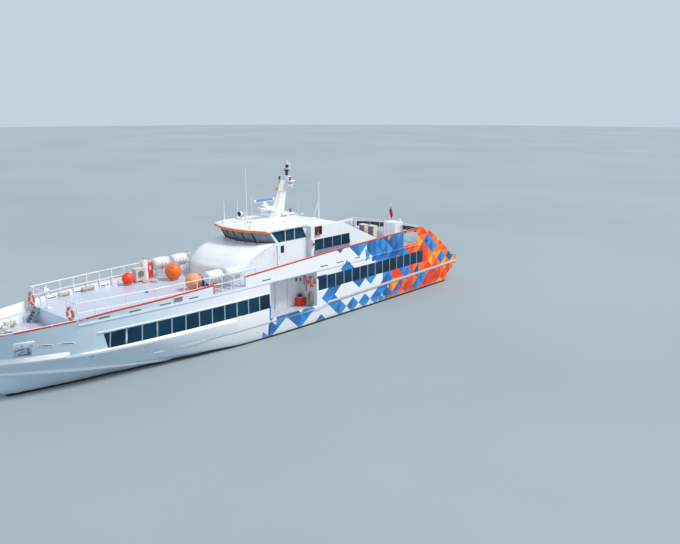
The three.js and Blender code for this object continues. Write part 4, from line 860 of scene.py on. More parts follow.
trim = Maker()
for left, right_bar in zip(WINDOW_BARS, WINDOW_BARS[1:]):
    a, b = left + 0.04, right_bar - 0.04
    frame_path = [front_at(a, 0.07, 0.004), front_at(b, 0.07, 0.004), front_at(b, 0.93, 0.004),
        front_at(a, 0.93, 0.004)]
    trim.tube(frame_path, 0.014, 6, True)
for y in WINDOW_BARS[1:-1]:
    bar_rows_front = [[front_at(y + dy, share, 0.045) for dy in (-0.05, 0.05)] for share in (0.03, 0.97)]
    trim.plate(bar_rows_front, (0.035, 0, 0))
trim.piece("bridge_window_gaskets", gasket_rubber, "dark_trim")
corner_panes = Maker()
for turn in (1, -1):
    rows = [[front_at(y, share, 0.01) for y in (2.26, 2.35, 2.43)] for share in (0.05, 0.5, 0.95)]
    corner_panes.plate(on_side(rows, turn), (0.008, 0, 0))
corner_panes.piece("bridge_corner_panes", bridge_glass, "window_glass")
wipers = Maker()
for k, y in enumerate((-1.17, -0.39, 0.39, 1.17)):
    foot, tip = front_at(y + 0.26, 0.97, 0.05), front_at(y - 0.1, 0.28, 0.03)
    wipers.tube([front_at(y + 0.26, 1, 0.03), foot, between(foot, tip, 0.5) + Vector((0.012, 0, 0)), tip],
        0.009, 6)
    blade = front_at(y - 0.28, 0.3, 0.022), front_at(y + 0.1, 0.26, 0.022)
    wipers.tube(blade, 0.012, 6)
wipers.piece("bridge_wipers", black_enamel, "dark_trim")

side_gasket = Maker()
SIDE_PANES = [((-2.86, -1.82), (-2.51, -1.82)), ((-1.745, -0.985), (-1.745, -0.985)),
    ((-0.91, -0.35), (-0.91, 0.25))]
for turn in (1, -1):
    for low, high in SIDE_PANES:
        z0, z1 = SILL + 0.05, HEAD - 0.045
        y0, y1 = turn * (HALF - 0.028), turn * (HALF - 0.047)
        side_gasket.tube([(low[0], y0, z0), (low[1], y0, z0), (high[1], y1, z1), (high[0], y1, z1)],
            0.014, 6, True)
side_gasket.piece("bridge_side_gaskets", gasket_rubber, "dark_trim")
print("front panes:", len(WINDOW_BARS) - 1, "side panes:", 2 * len(SIDE_PANES))

# %% [markdown]
# The bridge doors slide along the outside of the house. Each has a small upright window, a lever
# handle and a grab rail beside it. What belongs to a door rides on that door's body, and so it
# moves with the door. The nav light stands in a box in its own colour on the side of the upper
# saloon.

# %% Door fittings and boxes on the house side
DOOR_FACE = 2.548
LOUNGE_SIDE = 2.79
green_enamel = enamel("green enamel", (0.02, 0.3, 0.12))
maroon_screen = enamel("port light screen", (0.1, 0.022, 0.035), 0.5)


def side_block(maker, turn, xs, ys, zs):
    """A block on one side: ys are counted outboard, turn is 1 to port and -1 to starboard."""
    y0, y1 = sorted((turn * ys[0], turn * ys[1]))
    maker.block((xs[0], y0, zs[0]), (xs[1], y1, zs[1]))


def side_path(turn, points):
    return [(x, turn * y, z) for x, y, z in points]


for side, turn, screen in (("port", 1, maroon_screen), ("starboard", -1, green_enamel)):
    door = Maker()
    side_block(door, turn, (-0.7, -0.45), (DOOR_FACE - 0.003, DOOR_FACE + 0.006), (5.16, 5.6))
    door.coat(1).tube(side_path(turn, [(x, DOOR_FACE + 0.006, z) for x,
            z in ((-0.71, 5.15), (-0.44, 5.15), (-0.44, 5.61), (-0.71, 5.61))]), 0.012, 6, True)
    door.coat(2).staple((-0.28, turn * DOOR_FACE, 4.95), (-0.28, turn * DOOR_FACE, 4.8),
        (0, turn * 0.05, 0), 0.011)
    door.piece(f"bridge_door_fittings_{side}", [window_glass, gasket_rubber, steel], "window_glass",
        f"{side}_bridge_door")
    rails = Maker()
    for x, wall, high, low in ((0.1, HALF, 5.35, 4.6), (-2.95, LOUNGE_SIDE, 5.05, 4.4)):
        rails.tube(side_path(turn, [(x, wall + out, z) for out,
                z in ((0, high), (0.07, high - 0.02), (0.07, low + 0.02), (0, low))]), 0.014, 8)
    rails.piece(f"grab_rails_{side}", white_enamel, "white_paint")
    light_box = Maker()
    side_block(light_box, turn, (-3.93, -3.35), (LOUNGE_SIDE - 0.02, LOUNGE_SIDE + 0.012), (5.94, 6.5))
    side_block(light_box, turn, (-3.93, -3.35), (LOUNGE_SIDE, LOUNGE_SIDE + 0.13), (5.94, 5.97))
    side_block(light_box, turn, (-3.93, -3.9), (LOUNGE_SIDE, LOUNGE_SIDE + 0.13), (5.97, 6.5))
    light_box.coat(1).turned([(0.045, 0), (0.045, 0.13), (0.03, 0.15)],
        (-3.6, turn * (LOUNGE_SIDE + 0.065), 5.97), sides=16)
    light_box.coat(2).turned([(0.05, 0), (0.05, 0.03), (0.02, 0.06)],
        (-3.6, turn * (LOUNGE_SIDE + 0.065), 6.12), sides=16)
    light_box.piece(f"side_light_{side}", [screen, lamp_lens, black_enamel], "dark_trim", bevel=0.005)
    flood = Maker()
    side_block(flood, turn, (-3.24, -3.01), (LOUNGE_SIDE, LOUNGE_SIDE + 0.11), (5.22, 5.67))
    flood.finish = 1
    side_block(flood, turn, (-3.21, -3.04), (LOUNGE_SIDE + 0.11, LOUNGE_SIDE + 0.118), (5.27, 5.45))
    flood.piece(f"side_cabinet_{side}", [cream_enamel, black_enamel], "cream_paint", bevel=0.012)
print("door and house fittings on both sides")

# %% [markdown]
# The windows are dark panes bonded over their openings from outside, with a narrow joint between
# them. So each pane is a little larger than its hole and stands five millimetres proud, following
# the wall's own slope. The joints are narrow grey strips that cover the gaps between the panes.

# %% Bonded window panes
PANE_PROUD = 0.005
PANE_LAP = 0.022
JOINT_PROUD = 0.013


def wall_y(x, z, sill, head):
    """The wall's breadth beside a window, straight from under its sill to over its head."""
    low, high = breadth(x, sill - 0.05), breadth(x, head + 0.05)
    return between(low, high, (z - sill + 0.05) / (head - sill + 0.1))


def pane_rows(low_x, high_x, sill, head, proud):
    """low_x and high_x: the pane's ends at the sill and at the head."""
    rows = []
    for share in (0, 0.5, 1):
        z = between(sill - PANE_LAP, head + PANE_LAP, share)
        ends = [between(low_x[k], high_x[k], share) for k in (0, 1)]
        rows.append([(x, wall_y(x, z, sill, head) + proud, z) for x in (ends[0], sum(ends) / 2, ends[1])])
    return rows


WINDOW_ROWS = {
    "forward": {"x0": 1.39, "pitch": 0.887, "count": 12, "bar": 0.095, "sill": 2.06, "head": 2.93},
    "aft": {"x0": -14.93, "pitch": 0.856, "count": 14, "bar": 0.085, "sill": 2.315, "head": 3.19},
}
joint_grey = enamel("window joint", (0.36, 0.38, 0.46), 0.4, 0.1)
for row_name, row in WINDOW_ROWS.items():
    sill, head = row["sill"], row["head"]
    half_bar = row["bar"] / 2 - PANE_LAP
    for side, turn in SIDES:
        panes = Maker()
        back, joint_back = (0, turn * 0.006, 0), (0, turn * 0.012, 0)
        for k in range(row["count"]):
            a = row["x0"] + k * row["pitch"] + half_bar
            b = row["x0"] + (k + 1) * row["pitch"] - half_bar
            panes.plate(on_side(pane_rows((a, b), (a, b), sill, head, PANE_PROUD), turn), back)
        if row_name == "forward":
            tip = row["x0"] + row["count"] * row["pitch"] + half_bar
            rows = pane_rows((tip, tip + 0.06), (tip, tip + 0.33), sill, head - 0.02, PANE_PROUD)
            panes.plate(on_side(rows, turn), back)
        panes.finish = 1
        for k in range(1, row["count"] + (1 if row_name == "forward" else 0)):
            x = row["x0"] + k * row["pitch"]
            ends = (x - half_bar - 0.01, x + half_bar + 0.01)
            panes.plate(on_side(pane_rows(ends, ends, sill, head, JOINT_PROUD), turn), joint_back)
        panes.piece(f"{row_name}_panes_{side}", [window_glass, joint_grey], "window_glass")
print("panes on each side:", sum(row["count"] for row in WINDOW_ROWS.values()) + 1)

# %% [markdown]
# Along the hull run four lines of trim: the sloped cap of the ledge under the windows, a spray rail
# that dips from the bow to the waterline, the rubbing rail with its worn brown strip, and an
# eyebrow over the forward windows. All four are one kind of thing, a small profile carried along a
# line, so one function makes them. The line gives the height, and a ray gives the breadth.

# %% Ledge cap, spray rail, rubbing strip and eyebrow
worn_strip = rubber("worn rubbing strip", (0.34, 0.27, 0.23), 0.7)


def height_on(line, x):
    """Height of a line at x. The line is a list of (x, z) pairs with x rising."""
    for (x0, z0), (x1, z1) in zip(line, line[1:]):
        if x <= x1:
            return between(z0, z1, max(0, (x - x0) / (x1 - x0)))
    return line[-1][1]


def run_of_trim(maker, line, profile, x0, x1, count, taper=0.4, ceiling=9.0):
    """profile: (out, up) points from the skin, in order. The ends taper off over a short run."""
    rows = []
    for k in range(count + 1):
        x = between(x0, x1, k / count)
        z = height_on(line, x)
        ease = min(1, (abs(x - x0) + 0.02) / taper, (abs(x - x1) + 0.02) / taper)
        row = []
        for out, up in profile:
            level = min(z + up, ceiling)
            skin_y = breadth(x, level)
            if skin_y is None:
                raise ValueError(f"no side at {x:.2f}, {level:.2f}")
            row.append((x, skin_y + (out * ease if out > 0 else out), level))
        rows.append(row)
    for turn in (1, -1):
        maker.skin(on_side(rows, turn), True, True)


LEDGE_LINE = [(4.15, 1.815), (6.5, 1.87), (8.5, 1.91), (10.5, 1.95), (12.9, 2.0), (13.7, 2.03),
    (15.0, 2.07), (16.0, 2.1), (17.0, 2.14), (18.0, 2.18), (18.6, 2.2)]
SPRAY_LINE = [(8.0, 0.1), (13.9, 0.95), (17.1, 1.4)]
RUB_LINE = [(-19.79, 1.56), (-12.1, 1.44), (-4.1, 1.27), (-3.0, 1.035), (6.7, 1.035), (9.5, 1.06)]
EYEBROW_LINE = [(1.3, 2.99), (13.0, 3.03)]
ledge_cap = Maker()
run_of_trim(ledge_cap, LEDGE_LINE, [(-0.01, 0.17), (0.012, 0.17), (0.02, -0.015), (0.012, -0.03)], 4.12,
    13.9, 60, ceiling=2.03)
run_of_trim(ledge_cap, LEDGE_LINE, [(-0.01, 0.24), (0.03, 0.22), (0.07, 0), (0, -0.06)], 14.05, 18.3, 40)
ledge_cap.piece("ledge_caps", fresh_white, "white_paint", smooth_to=30)
spray_rail = Maker()
run_of_trim(spray_rail, SPRAY_LINE, [(-0.01, 0.15), (0, 0.15), (0.11, 0.02), (0.1, -0.02),
        (-0.01, -0.04)], 8.0, 17.0, 60, 1)
spray_rail.piece("spray_rails", fresh_white, "white_paint", smooth_to=30)
rub_strip = Maker()
run_of_trim(rub_strip, RUB_LINE, [(-0.02, 0.05), (0.012, 0.045), (0.014, 0), (-0.02, -0.01)], -19.7, 8.9,
    180, 0.1)
rub_strip.piece("rubbing_strips", worn_strip, "dark_trim", smooth_to=30)
eyebrow = Maker()
run_of_trim(eyebrow, EYEBROW_LINE, [(-0.01, 0.045), (0.05, 0.03), (0.05, 0), (-0.01, -0.02)], 1.45, 12.8,
    60, 0.15)
eyebrow.piece("window_eyebrows", white_enamel, "white_paint", smooth_to=30)
print("trim runs made")

# %% [markdown]
# Lifebuoys are rings of closed foam with four white bands, held by a grab line at each band. One
# function turns the ring and colours its faces by their angle. Two hang on the front rail and one
# in the boarding recess.

# %% Lifebuoys
RING_BIG, RING_SMALL = 0.275, 0.095


def lifebuoy(name, centre):
    way, side, lift = axes_about((1, 0, 0))
    centre = Vector(centre)
    buoy = Maker()
    around, sides = 48, 14
    buoy.ring(centre, way, RING_BIG, RING_SMALL, around, sides, 0.62)
    buoy.finishes = [1 if (face // sides) % 12 < 3 else 0 for face in range(around * sides)]
    for k in range(4):
        a, b = math.radians(90 * k + 11), math.radians(90 * (k + 1) + 11)
        cord_line = []
        for n in range(9):
            t = between(a, b, n / 8)
            r = RING_BIG + RING_SMALL + 0.012 + 0.035 * math.sin(math.pi * n / 8)
            cord_line.append(centre + spoke(side, lift, t) * r)
        buoy.coat(2).tube(cord_line, 0.007, 6)
    return buoy.piece(name, [ring_foam, canister_shell, cream_rope], "orange_plastic")


lifebuoy("lifebuoy_fore_port", (13.735, 1.93, 4.16))
lifebuoy("lifebuoy_fore_starboard", (13.735, -2.33, 4.16))
lifebuoy("lifebuoy_recess", (-2.745, 3.02, 2.87))
ring_hooks = Maker()
for x, y, z in ((13.66, 1.93, 4.43), (13.66, -2.33, 4.43), (-2.815, 3.02, 3.14)):
    ring_hooks.tube([(x, y, z + 0.35), (x, y, z), (x + 0.1, y, z - 0.03), (x + 0.13, y, z + 0.02)]
        if x > 0 else [(x, y, z + 0.05), (x, y, z), (x + 0.12, y, z - 0.01), (x + 0.14, y, z + 0.03)],
        0.008, 6)
ring_hooks.piece("lifebuoy_hooks", steel, "grey_steel")
print("lifebuoys:", 3)

# %% [markdown]
# The big round fenders are inflated skins. They are almost spheres, a little drawn out toward the
# moulded eye that the lashing goes through, with a seam round the middle. Each sits in a ring of
# old rope so that it can't roll.

# %% Round fenders
def fender(name, stands_for, centre, r, lean, skin, slot):
    profile = []
    for k in range(25):
        a = math.pi * k / 24
        swell = 1 + 0.006 * math.cos(16 * a) * (abs(math.cos(a)) > 0.8)
        profile.append((r * math.sin(a) * swell * 0.995, -r * math.cos(a)))
    ball = Maker().turned(profile, centre, lean, 40)
    lean = Vector(lean).normalized()
    crown = Vector(centre) + lean * r * 0.97
    ball.turned([(0.09, -0.03), (0.085, 0.01), (0.05, 0.03), (0, 0.032)], crown, lean, 20)
    ball.coat(1).ring(crown + lean * 0.05, lean.orthogonal(), 0.035, 0.014, 20, 8)
    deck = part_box(stands_for)[0].z
    ball.finish = 2
    base = math.sqrt(max(r * r - (centre[2] - deck - 0.045) ** 2, 0.02))
    ball.ring((centre[0], centre[1], deck + 0.045), (0, 0, 1), base + 0.035, 0.042, 40, 10)
    return ball.piece(name, [skin, black_rubber, cream_rope], slot, stands_for=[stands_for])


fender("round_fender_red", "fender_red", (7.75, -2.35, 4.163), 0.375, (0.3, 0.4, 0.86), red_buoy_skin,
    "red_plastic")
fender("round_fender_orange", "fender_orange", (5.15, -1.35, 4.313), 0.525, (0.5, 0.6, 0.62),
    orange_buoy_skin, "orange_plastic")
fender("round_fender_pale", "fender_pale", (5.82, 1.62, 4.288), 0.5, (-0.7, 0.2, 0.68), pale_buoy_skin,
    "orange_plastic")

# %% [markdown]
# Life rafts are packed in glass-fibre canisters: two half shells with a flange at the seam, banded
# with straps. Each lies in a cradle of bent tube with a release at its side. The profile of the
# ends is domed, so the shell is turned about its length.

# %% Raft canisters and cradles
RAFT_XS = (5.18, 3.8)
RAFT_Y, RAFT_Z, RAFT_R, RAFT_LONG = 2.7, 4.67, 0.39, 1.15
DECK_TOP = 3.78
strap_grey = rubber("grey strap", (0.42, 0.44, 0.47), 0.6)


def canister(maker, x, y, turn):
    half = RAFT_LONG / 2
    shell = RAFT_R - 0.02
    profile = [(0, -half), (0.18, -half + 0.004), (0.28, -half + 0.03), (0.335, -half + 0.08),
        (0.36, -half + 0.14)]
    profile += [(shell, -half + 0.17), (shell, -0.05), (RAFT_R - 0.002, -0.03), (RAFT_R - 0.002, 0.03),
        (shell, 0.05)]
    profile += [(r, -h) for r, h in reversed(profile[:6])]
    maker.coat(0).turned(profile, (x, y, RAFT_Z), (1, 0, 0), 36)
    for s in (-1, 1):
        maker.block((x - half * 0.93, y + s * (RAFT_R - 0.03) - 0.02, RAFT_Z - 0.018),
            (x + half * 0.93, y + s * (RAFT_R - 0.03) + 0.02, RAFT_Z + 0.018))
    maker.finish = 1
    for dx in (-0.38, -0.13, 0.13, 0.38):
        maker.ring((x + dx, y, RAFT_Z), (1, 0, 0), RAFT_R - 0.017, 0.012, 40, 6)
    maker.finish = 2
    for dx in (-0.36, 0.36):
        saddle = [(x + dx, y + 0.4 * math.cos(a), RAFT_Z + 0.4 * math.sin(a))
            for a in (math.radians(d) for d in range(205, 336, 13))]
        maker.tube(saddle, 0.024, 8)
        for s in (-1, 1):
            hip = (x + dx, y + s * 0.31, RAFT_Z - 0.27)
            maker.tube([(x + dx, y + s * 0.34, DECK_TOP + 0.03), (x + dx, y + s * 0.34, DECK_TOP + 0.34),
                    hip], 0.024, 8)
            maker.tube([hip, (x + dx, y + s * 0.4, RAFT_Z - 0.06)], 0.02, 8)
        maker.block((x + dx - 0.05, y - 0.38, DECK_TOP + 0.001),
            (x + dx + 0.05, y + 0.38, DECK_TOP + 0.035))
        maker.tube([(x + dx, y - 0.34, DECK_TOP + 0.1), (x + dx, y + 0.34, DECK_TOP + 0.42)], 0.014, 6)
    for s in (-1, 1):
        maker.tube([(x - 0.36, y + s * 0.34, DECK_TOP + 0.2), (x + 0.36, y + s * 0.34, DECK_TOP + 0.2)],
            0.018, 8)
    maker.coat(3).turned([(0.05, 0), (0.055, 0.02), (0.05, 0.05)],
        (x + 0.15, y - turn * 0.45, RAFT_Z - 0.22), (0, -turn, 0), 16)
    maker.tube([(x + 0.15, y - turn * 0.47, RAFT_Z - 0.18), (x + 0.16, y - turn * 0.44, RAFT_Z + 0.03)],
        0.008, 6)


for side, turn in SIDES:
    canisters = Maker()
    for x in RAFT_XS:
        canister(canisters, x, turn * RAFT_Y, turn)
    canisters.piece(f"raft_canisters_{side}", [canister_shell, strap_grey, white_enamel, red_enamel],
        "white_plastic", stands_for=[f"rafts_{side}"])
print("raft canisters:", 2 * len(RAFT_XS))

# %% [markdown]
# Forward on the starboard side stand an air unit with its fan, a tall locker and a red cabinet for
# an extinguisher. The plain boxes of the solid give their places. The new ones have rounded
# corners, a fan in its ring with a wire guard, a door with its seam and a handle.

# %% Deck boxes forward
def fan_guard(maker, centre, way, r, finish_ring, finish_wire):
    way, side, lift = axes_about(way)
    centre = Vector(centre)
    maker.coat(finish_ring).ring(centre, way, r, 0.014, 32, 8)
    maker.finish = finish_wire
    for share in (0.3, 0.55, 0.8):
        maker.ring(centre + way * 0.006, way, r * share, 0.004, 28, 5)
    for k in range(8):
        out = spoke(side, lift, math.pi * k / 8) * r
        maker.tube([centre - out + way * 0.006, centre + out + way * 0.006], 0.004, 5)
    maker.coat(2).turned([(r * 0.97, 0), (r * 0.97, 0.004)], centre - way * 0.004, way, 28)
    maker.finish = finish_wire
    for k in range(5):
        a = 2 * math.pi * k / 5
        inner = centre + spoke(side, lift, a) * 0.03
        outer_a = centre + spoke(side, lift, a + 0.3) * r * 0.9
        outer_b = centre + spoke(side, lift, a - 0.25) * r * 0.9
        maker.skin([[inner + way * 0.001, inner + way * 0.002],
                [outer_a + way * 0.002, outer_b + way * 0.004]])


pale_grey_enamel = enamel("pale grey enamel", (0.62, 0.6, 0.57), 0.4, 0.2)
fan_shadow = enamel("shadow behind the fan", (0.22, 0.2, 0.18), 0.6, 0.3)
air_unit = Maker()
air_unit.block((6.5, -2.785, DECK_TOP + 0.08), (7.2, -2.335, 4.63))
for x in (6.56, 7.1):
    air_unit.block((x, -2.76, DECK_TOP + 0.001), (x + 0.05, -2.36, DECK_TOP + 0.08))
for k in range(7):
    air_unit.block((6.493, -2.72, 4.02 + 0.07 * k), (6.5, -2.4, 4.05 + 0.07 * k))
fan_guard(air_unit, (6.85, -2.327, 4.28), (0, 1, 0), 0.23, 0, 1)
air_unit.coat(0).tube([(7.205, -2.6, 3.95), (7.24, -2.6, 3.95), (7.24, -2.6, 3.81), (7.24, -2.9, 3.81)],
    0.018, 8)
air_unit.piece("air_unit_forward", [pale_grey_enamel, steel, fan_shadow], "cream_paint", bevel=0.008,
    stands_for=["deck_boxes_forward"])
tall_locker = Maker()
tall_locker.block((6.15, -2.96, DECK_TOP + 0.001), (6.46, -2.62, 4.95))
tall_locker.block((6.14, -2.97, 4.95), (6.47, -2.61, 4.985))
tall_locker.block((6.15, -2.62, DECK_TOP + 0.06), (6.43, -2.608, 4.94))
tall_locker.coat(1).staple((6.18, -2.608, 4.5), (6.18, -2.608, 4.35), (0, 0.028, 0), 0.007, 6)
tall_locker.piece("tall_locker", [white_enamel, steel], "white_paint", bevel=0.008)
post_lamp = Maker().turned([(0.022, 0), (0.022, 0.12), (0.04, 0.13), (0.045, 0.2), (0.03, 0.235)],
    (6.31, -2.79, 4.98), sides=14)
post_lamp.piece("locker_lamp", lamp_lens, "orange_plastic")
cabinet = Maker()
cabinet.block((5.8, -2.93, DECK_TOP + 0.1), (6.12, -2.65, 4.78))
cabinet.block((5.82, -2.65, DECK_TOP + 0.14), (6.1, -2.636, 4.74))
cabinet.coat(1).block((5.84, -2.9, DECK_TOP + 0.001), (6.08, -2.68, DECK_TOP + 0.1))
cabinet.staple((5.89, -2.636, 4.45), (5.89, -2.636, 4.33), (0, 0.026, 0), 0.006, 6)
cabinet.coat(2).block((5.92, -2.634, 4.36), (6.02, -2.63, 4.6))
cabinet.piece("red_cabinet", [chest_plastic, steel, white_enamel], "red_plastic", bevel=0.008)
print("deck boxes forward: 3 and a lamp")

# %% [markdown]
# Two rolls of netting lie under the starboard rail. Two navy canvas rolls are stacked beside the
# pale fender, with two jugs. A roll sags between its ties, so its radius swells between them and
# draws in under each tie, and its line dips in the middle.

# %% Rolls and jugs
def canvas_roll(name, a, b, r, skin, ties=3):
    a, b = Vector(a), Vector(b)
    steps_along = 28
    line, radii = [], []
    for k in range(steps_along + 1):
        t = k / steps_along
        tie = min(abs(t - (n + 0.5) / ties) for n in range(ties)) * ties * 2
        radii.append(r * (0.8 + 0.2 * min(1, tie * 1.6)) * (0.86 if k in (0, steps_along) else 1))
        line.append(a.lerp(b, t) - Vector((0, 0, 0.02 * math.sin(math.pi * t))))
    roll = Maker().tube(line, radii, 18)
    body = roll.piece(name, skin, None, smooth_to=60)
    ties_made = Maker()
    for n in range(ties):
        t = (n + 0.5) / ties
        ties_made.ring(a.lerp(b, t) - Vector((0, 0, 0.02 * math.sin(math.pi * t))), b - a, r * 0.83,
            0.012, 24, 6)
    ties_made.piece(name + "_ties", cream_rope, None)
    return body


def netting(name):
    """Rolled netting: pale cord with brown shadow in its meshes."""
    g = Graph(name, 0.85)
    x, _, z = g.split(g.place)
    rising, falling = (g.times(g.math(way, x, z), 95.0) for way in ("ADD", "SUBTRACT"))
    mesh = g.times(g.math("SINE", rising), g.math("SINE", falling))
    clumps = g.noise(16, 3)
    tone = g.mix(g.spread(clumps, 0.42, 0.6), (0.66, 0.6, 0.54), (0.26, 0.17, 0.13))
    tone = g.mix(g.spread(mesh, 0.1, 0.5, 0, 0.5), tone, (0.8, 0.76, 0.72))
    g.bump(g.plus(mesh, clumps), 0.012, 0.7)
    return g.done(tone)


net_cloth = netting("rolled netting")
canvas_roll("canvas_roll_long", (11.32, -2.86, 3.905), (12.02, -2.8, 3.905), 0.125, net_cloth)
canvas_roll("canvas_roll_short", (9.7, -2.98, 3.915), (10.5, -2.9, 3.915), 0.13, net_cloth)
navy_cloth = cloth("navy canvas", (0.025, 0.05, 0.26), 160)
canvas_roll("navy_roll_long", (4.95, 0.95, 3.94), (4.62, 1.85, 3.94), 0.15, navy_cloth)
canvas_roll("navy_roll_short", (4.86, 1.15, 4.19), (4.66, 1.75, 4.19), 0.13, navy_cloth, 2)
jugs = Maker()
for k, (x, y, r, high) in enumerate(((4.3, 1.2, 0.12, 0.36), (4.22, 1.62, 0.11, 0.32))):
    jugs.coat(k).turned([(r * 0.9, 0), (r, 0.02), (r, high * 0.7), (r * 0.8, high * 0.84),
            (0.035, high * 0.9), (0.035, high), (0, high + 0.004)], (x, y, DECK_TOP), sides=24)
    shoulder = DECK_TOP + high * 0.82
    jugs.staple((x - 0.05, y, shoulder), (x + 0.06, y, shoulder), (0, 0, high * 0.18 + 0.02), 0.012, 6)
jugs.piece("deck_jugs", [canister_shell, orange_buoy_skin], "white_plastic")
print("canvas rolls:", 4)

# %% [markdown]
# The mast carries the lamps that a ship must show, one above the other, and two halyards for signal
# flags. A ship's lamp is a base, a ribbed lens and a cap. The lens is turned from a wavy profile,
# because a real one is a stack of prisms. The halyards are thin lines drawn tight.

# %% Mast lamps and halyards
red_lens = moulded("red lens", (0.75, 0.02, 0.015), 0.15)
clear_lens = moulded("clear lens", (0.74, 0.78, 0.82), 0.12)
LAMP_FINISHES = [black_enamel, red_lens, clear_lens, lamp_lens, white_enamel, cream_enamel]


def lantern(maker, foot, r, high, lens, way=(0, 0, 1), case=0):
    """case and lens are places in LAMP_FINISHES."""
    foot, way = Vector(foot), Vector(way)
    maker.coat(case).turned([(r * 0.9, 0), (r, 0.01), (r, high * 0.22), (r * 0.8, high * 0.26)], foot,
        way, 16)
    maker.turned([(r * 0.8, high * 0.74), (r, high * 0.78), (r * 0.95, high * 0.9), (r * 0.5, high)],
        foot, way, 16)
    maker.coat(lens).turned([(r * (0.82 if k % 2 else 0.76), high * (0.26 + 0.08 * k)) for k in range(7)],
        foot, way, 16)


mast_lamps = Maker()
lantern(mast_lamps, (-3.557, 0, 10.5), 0.1, 0.22, 2, case=4)
lantern(mast_lamps, (-3.66, 0.1, 10.36), 0.08, 0.18, 2, case=5)
mast_lamps.coat(0).turned([(0.09, 0), (0.1, 0.02), (0.1, 0.19), (0.08, 0.21)], (-3.552, 0, 10.26),
    sides=18)
for y in (-0.24, 0.24):
    lantern(mast_lamps, (-3.54, y, 10.2), 0.055, 0.17, 2, (0, 0, -1))
for k in range(3):
    mast_lamps.coat(0).turned([(0.1, 0), (0.11, 0.02), (0.11, 0.09), (0.1, 0.11)],
        (-3.53, 0, 9.76 + 0.13 * k), sides=18)
for x, y in ((-3.4, -0.58), (-3.42, 0.42)):
    lantern(mast_lamps, (x, y, 9.44), 0.085, 0.22, 1)
    lantern(mast_lamps, (x, y, 9.37), 0.08, 0.18, 2, (0, 0, -1))
lantern(mast_lamps, (-2.6, 0, 8.8), 0.11, 0.22, 3, case=3)
mast_tree = tree_of("mast")
yard_top = mast_tree.ray_cast(Vector((-3.8, 0.02, 7.8)), Vector((0, 0, -1)))[0].z
yard_low = mast_tree.ray_cast(Vector((-3.8, 0.02, 6.7)), Vector((0, 0, 1)))[0].z
lantern(mast_lamps, (-3.8, 0.02, yard_top), 0.085, 0.22, 1)
lantern(mast_lamps, (-3.8, 0.02, yard_low), 0.08, 0.18, 2, (0, 0, -1))
print("aft yard from", round(yard_low, 2), "to", round(yard_top, 2))
lantern(mast_lamps, (-3.06, 0.3, 6.99), 0.095, 0.19, 3, case=3)
mast_lamps.coat(4).block((-2.74, -0.09, 8.77), (-2.5, 0.09, 8.805))
mast_lamps.block((-3.72, -0.05, 10.31), (-3.55, 0.05, 10.36))
mast_lamps.block((-3.14, 0.22, 6.9), (-2.98, 0.38, 6.99))
mast_lamps.piece("mast_lamps", LAMP_FINISHES, "dark_trim")
mast_trim = Maker()
collar = round_row(Vector((-2.99, 0, 8.8)), Vector((0.43, 0, 0)), Vector((0, 0.245, 0)), 1, 24)
mast_trim.tube(collar, 0.022, 8, True)
for x in (-2.56, -3.42):
    mast_trim.tube([(x, 0, 8.8), (-2.99 + (x + 2.99) * 0.4, 0, 8.62)], 0.016, 6)
mast_trim.turned([(0.02, -0.16), (0.04, -0.1), (0.06, 0.05), (0.15, 0.16), (0.155, 0.17), (0.12, 0.165)],
    (-3.76, 0.1, 9.02), (-0.85, 0.5, -0.15), 20)
mast_trim.tube([(-3.3, 0, 9.1), (-3.66, 0.06, 9.06)], 0.025, 6)
mast_trim.turned([(0.2, 0), (0.235, 0.03), (0.235, 0.16), (0.19, 0.22), (0.13, 0.235)], (-1.37, 0, 7.8),
    sides=28)
for k in range(9):
    z = 7.02 + 0.28 * k
    aft = between(-2.75, -3.3, (z - 6.85) / 2.2) - 0.02
    mast_trim.staple((aft, -0.16, z), (aft, 0.16, z), (-0.1, 0, 0), 0.012, 6)
mast_trim.block((-2.0, -0.172, 7.4), (-1.2, -0.168, 7.62))
for s in (-1, 1):
    mast_trim.tube([(-1, 0.15 * s, 7.77), (-1, 0.15 * s, 7.92), (-1.7, 0.15 * s, 7.92),
            (-1.7, 0.15 * s, 7.7)], 0.012, 6)
mast_trim.piece("mast_fittings", white_enamel, "white_paint")
for side, turn in SIDES:
    top, foot = Vector((-3.66, 0.6 * turn, 9.37)), Vector((-3.78, 0.43 * turn, 7.19))
    line = [top.lerp(foot, k / 10) for k in range(11)]
    halyard = Maker().tube(line, 0.005, 6).piece(f"halyard_{side}", cream_rope, None)
print("halyards: 2")

# %% [markdown]
# The scanner is a slotted bar behind a blue window, with white end caps and a gearbox neck. It
# rides on its own body, because it turns. The searchlight is a drum with a black bezel, held in a
# fork, and it rides on the lamp's body for the same reason.

# %% Scanner bar and searchlight
SCAN_X, SCAN_LOW, SCAN_HIGH, SCAN_REACH = -1.37, 8.15, 8.33, 0.88


def bar_outline(half, low, high, soft):
    centre = (low + high) / 2
    tall = (high - low) / 2
    points = []
    for sy, sz, start in ((1, 1, 0), (-1, 1, 90), (-1, -1, 180), (1, -1, 270)):
        for k in range(4):
            a = math.radians(start + 30 * k)
            points.append((sy * (half - soft) + soft * math.cos(a),
                    centre + sz * (tall - soft) + soft * math.sin(a)))
    return points


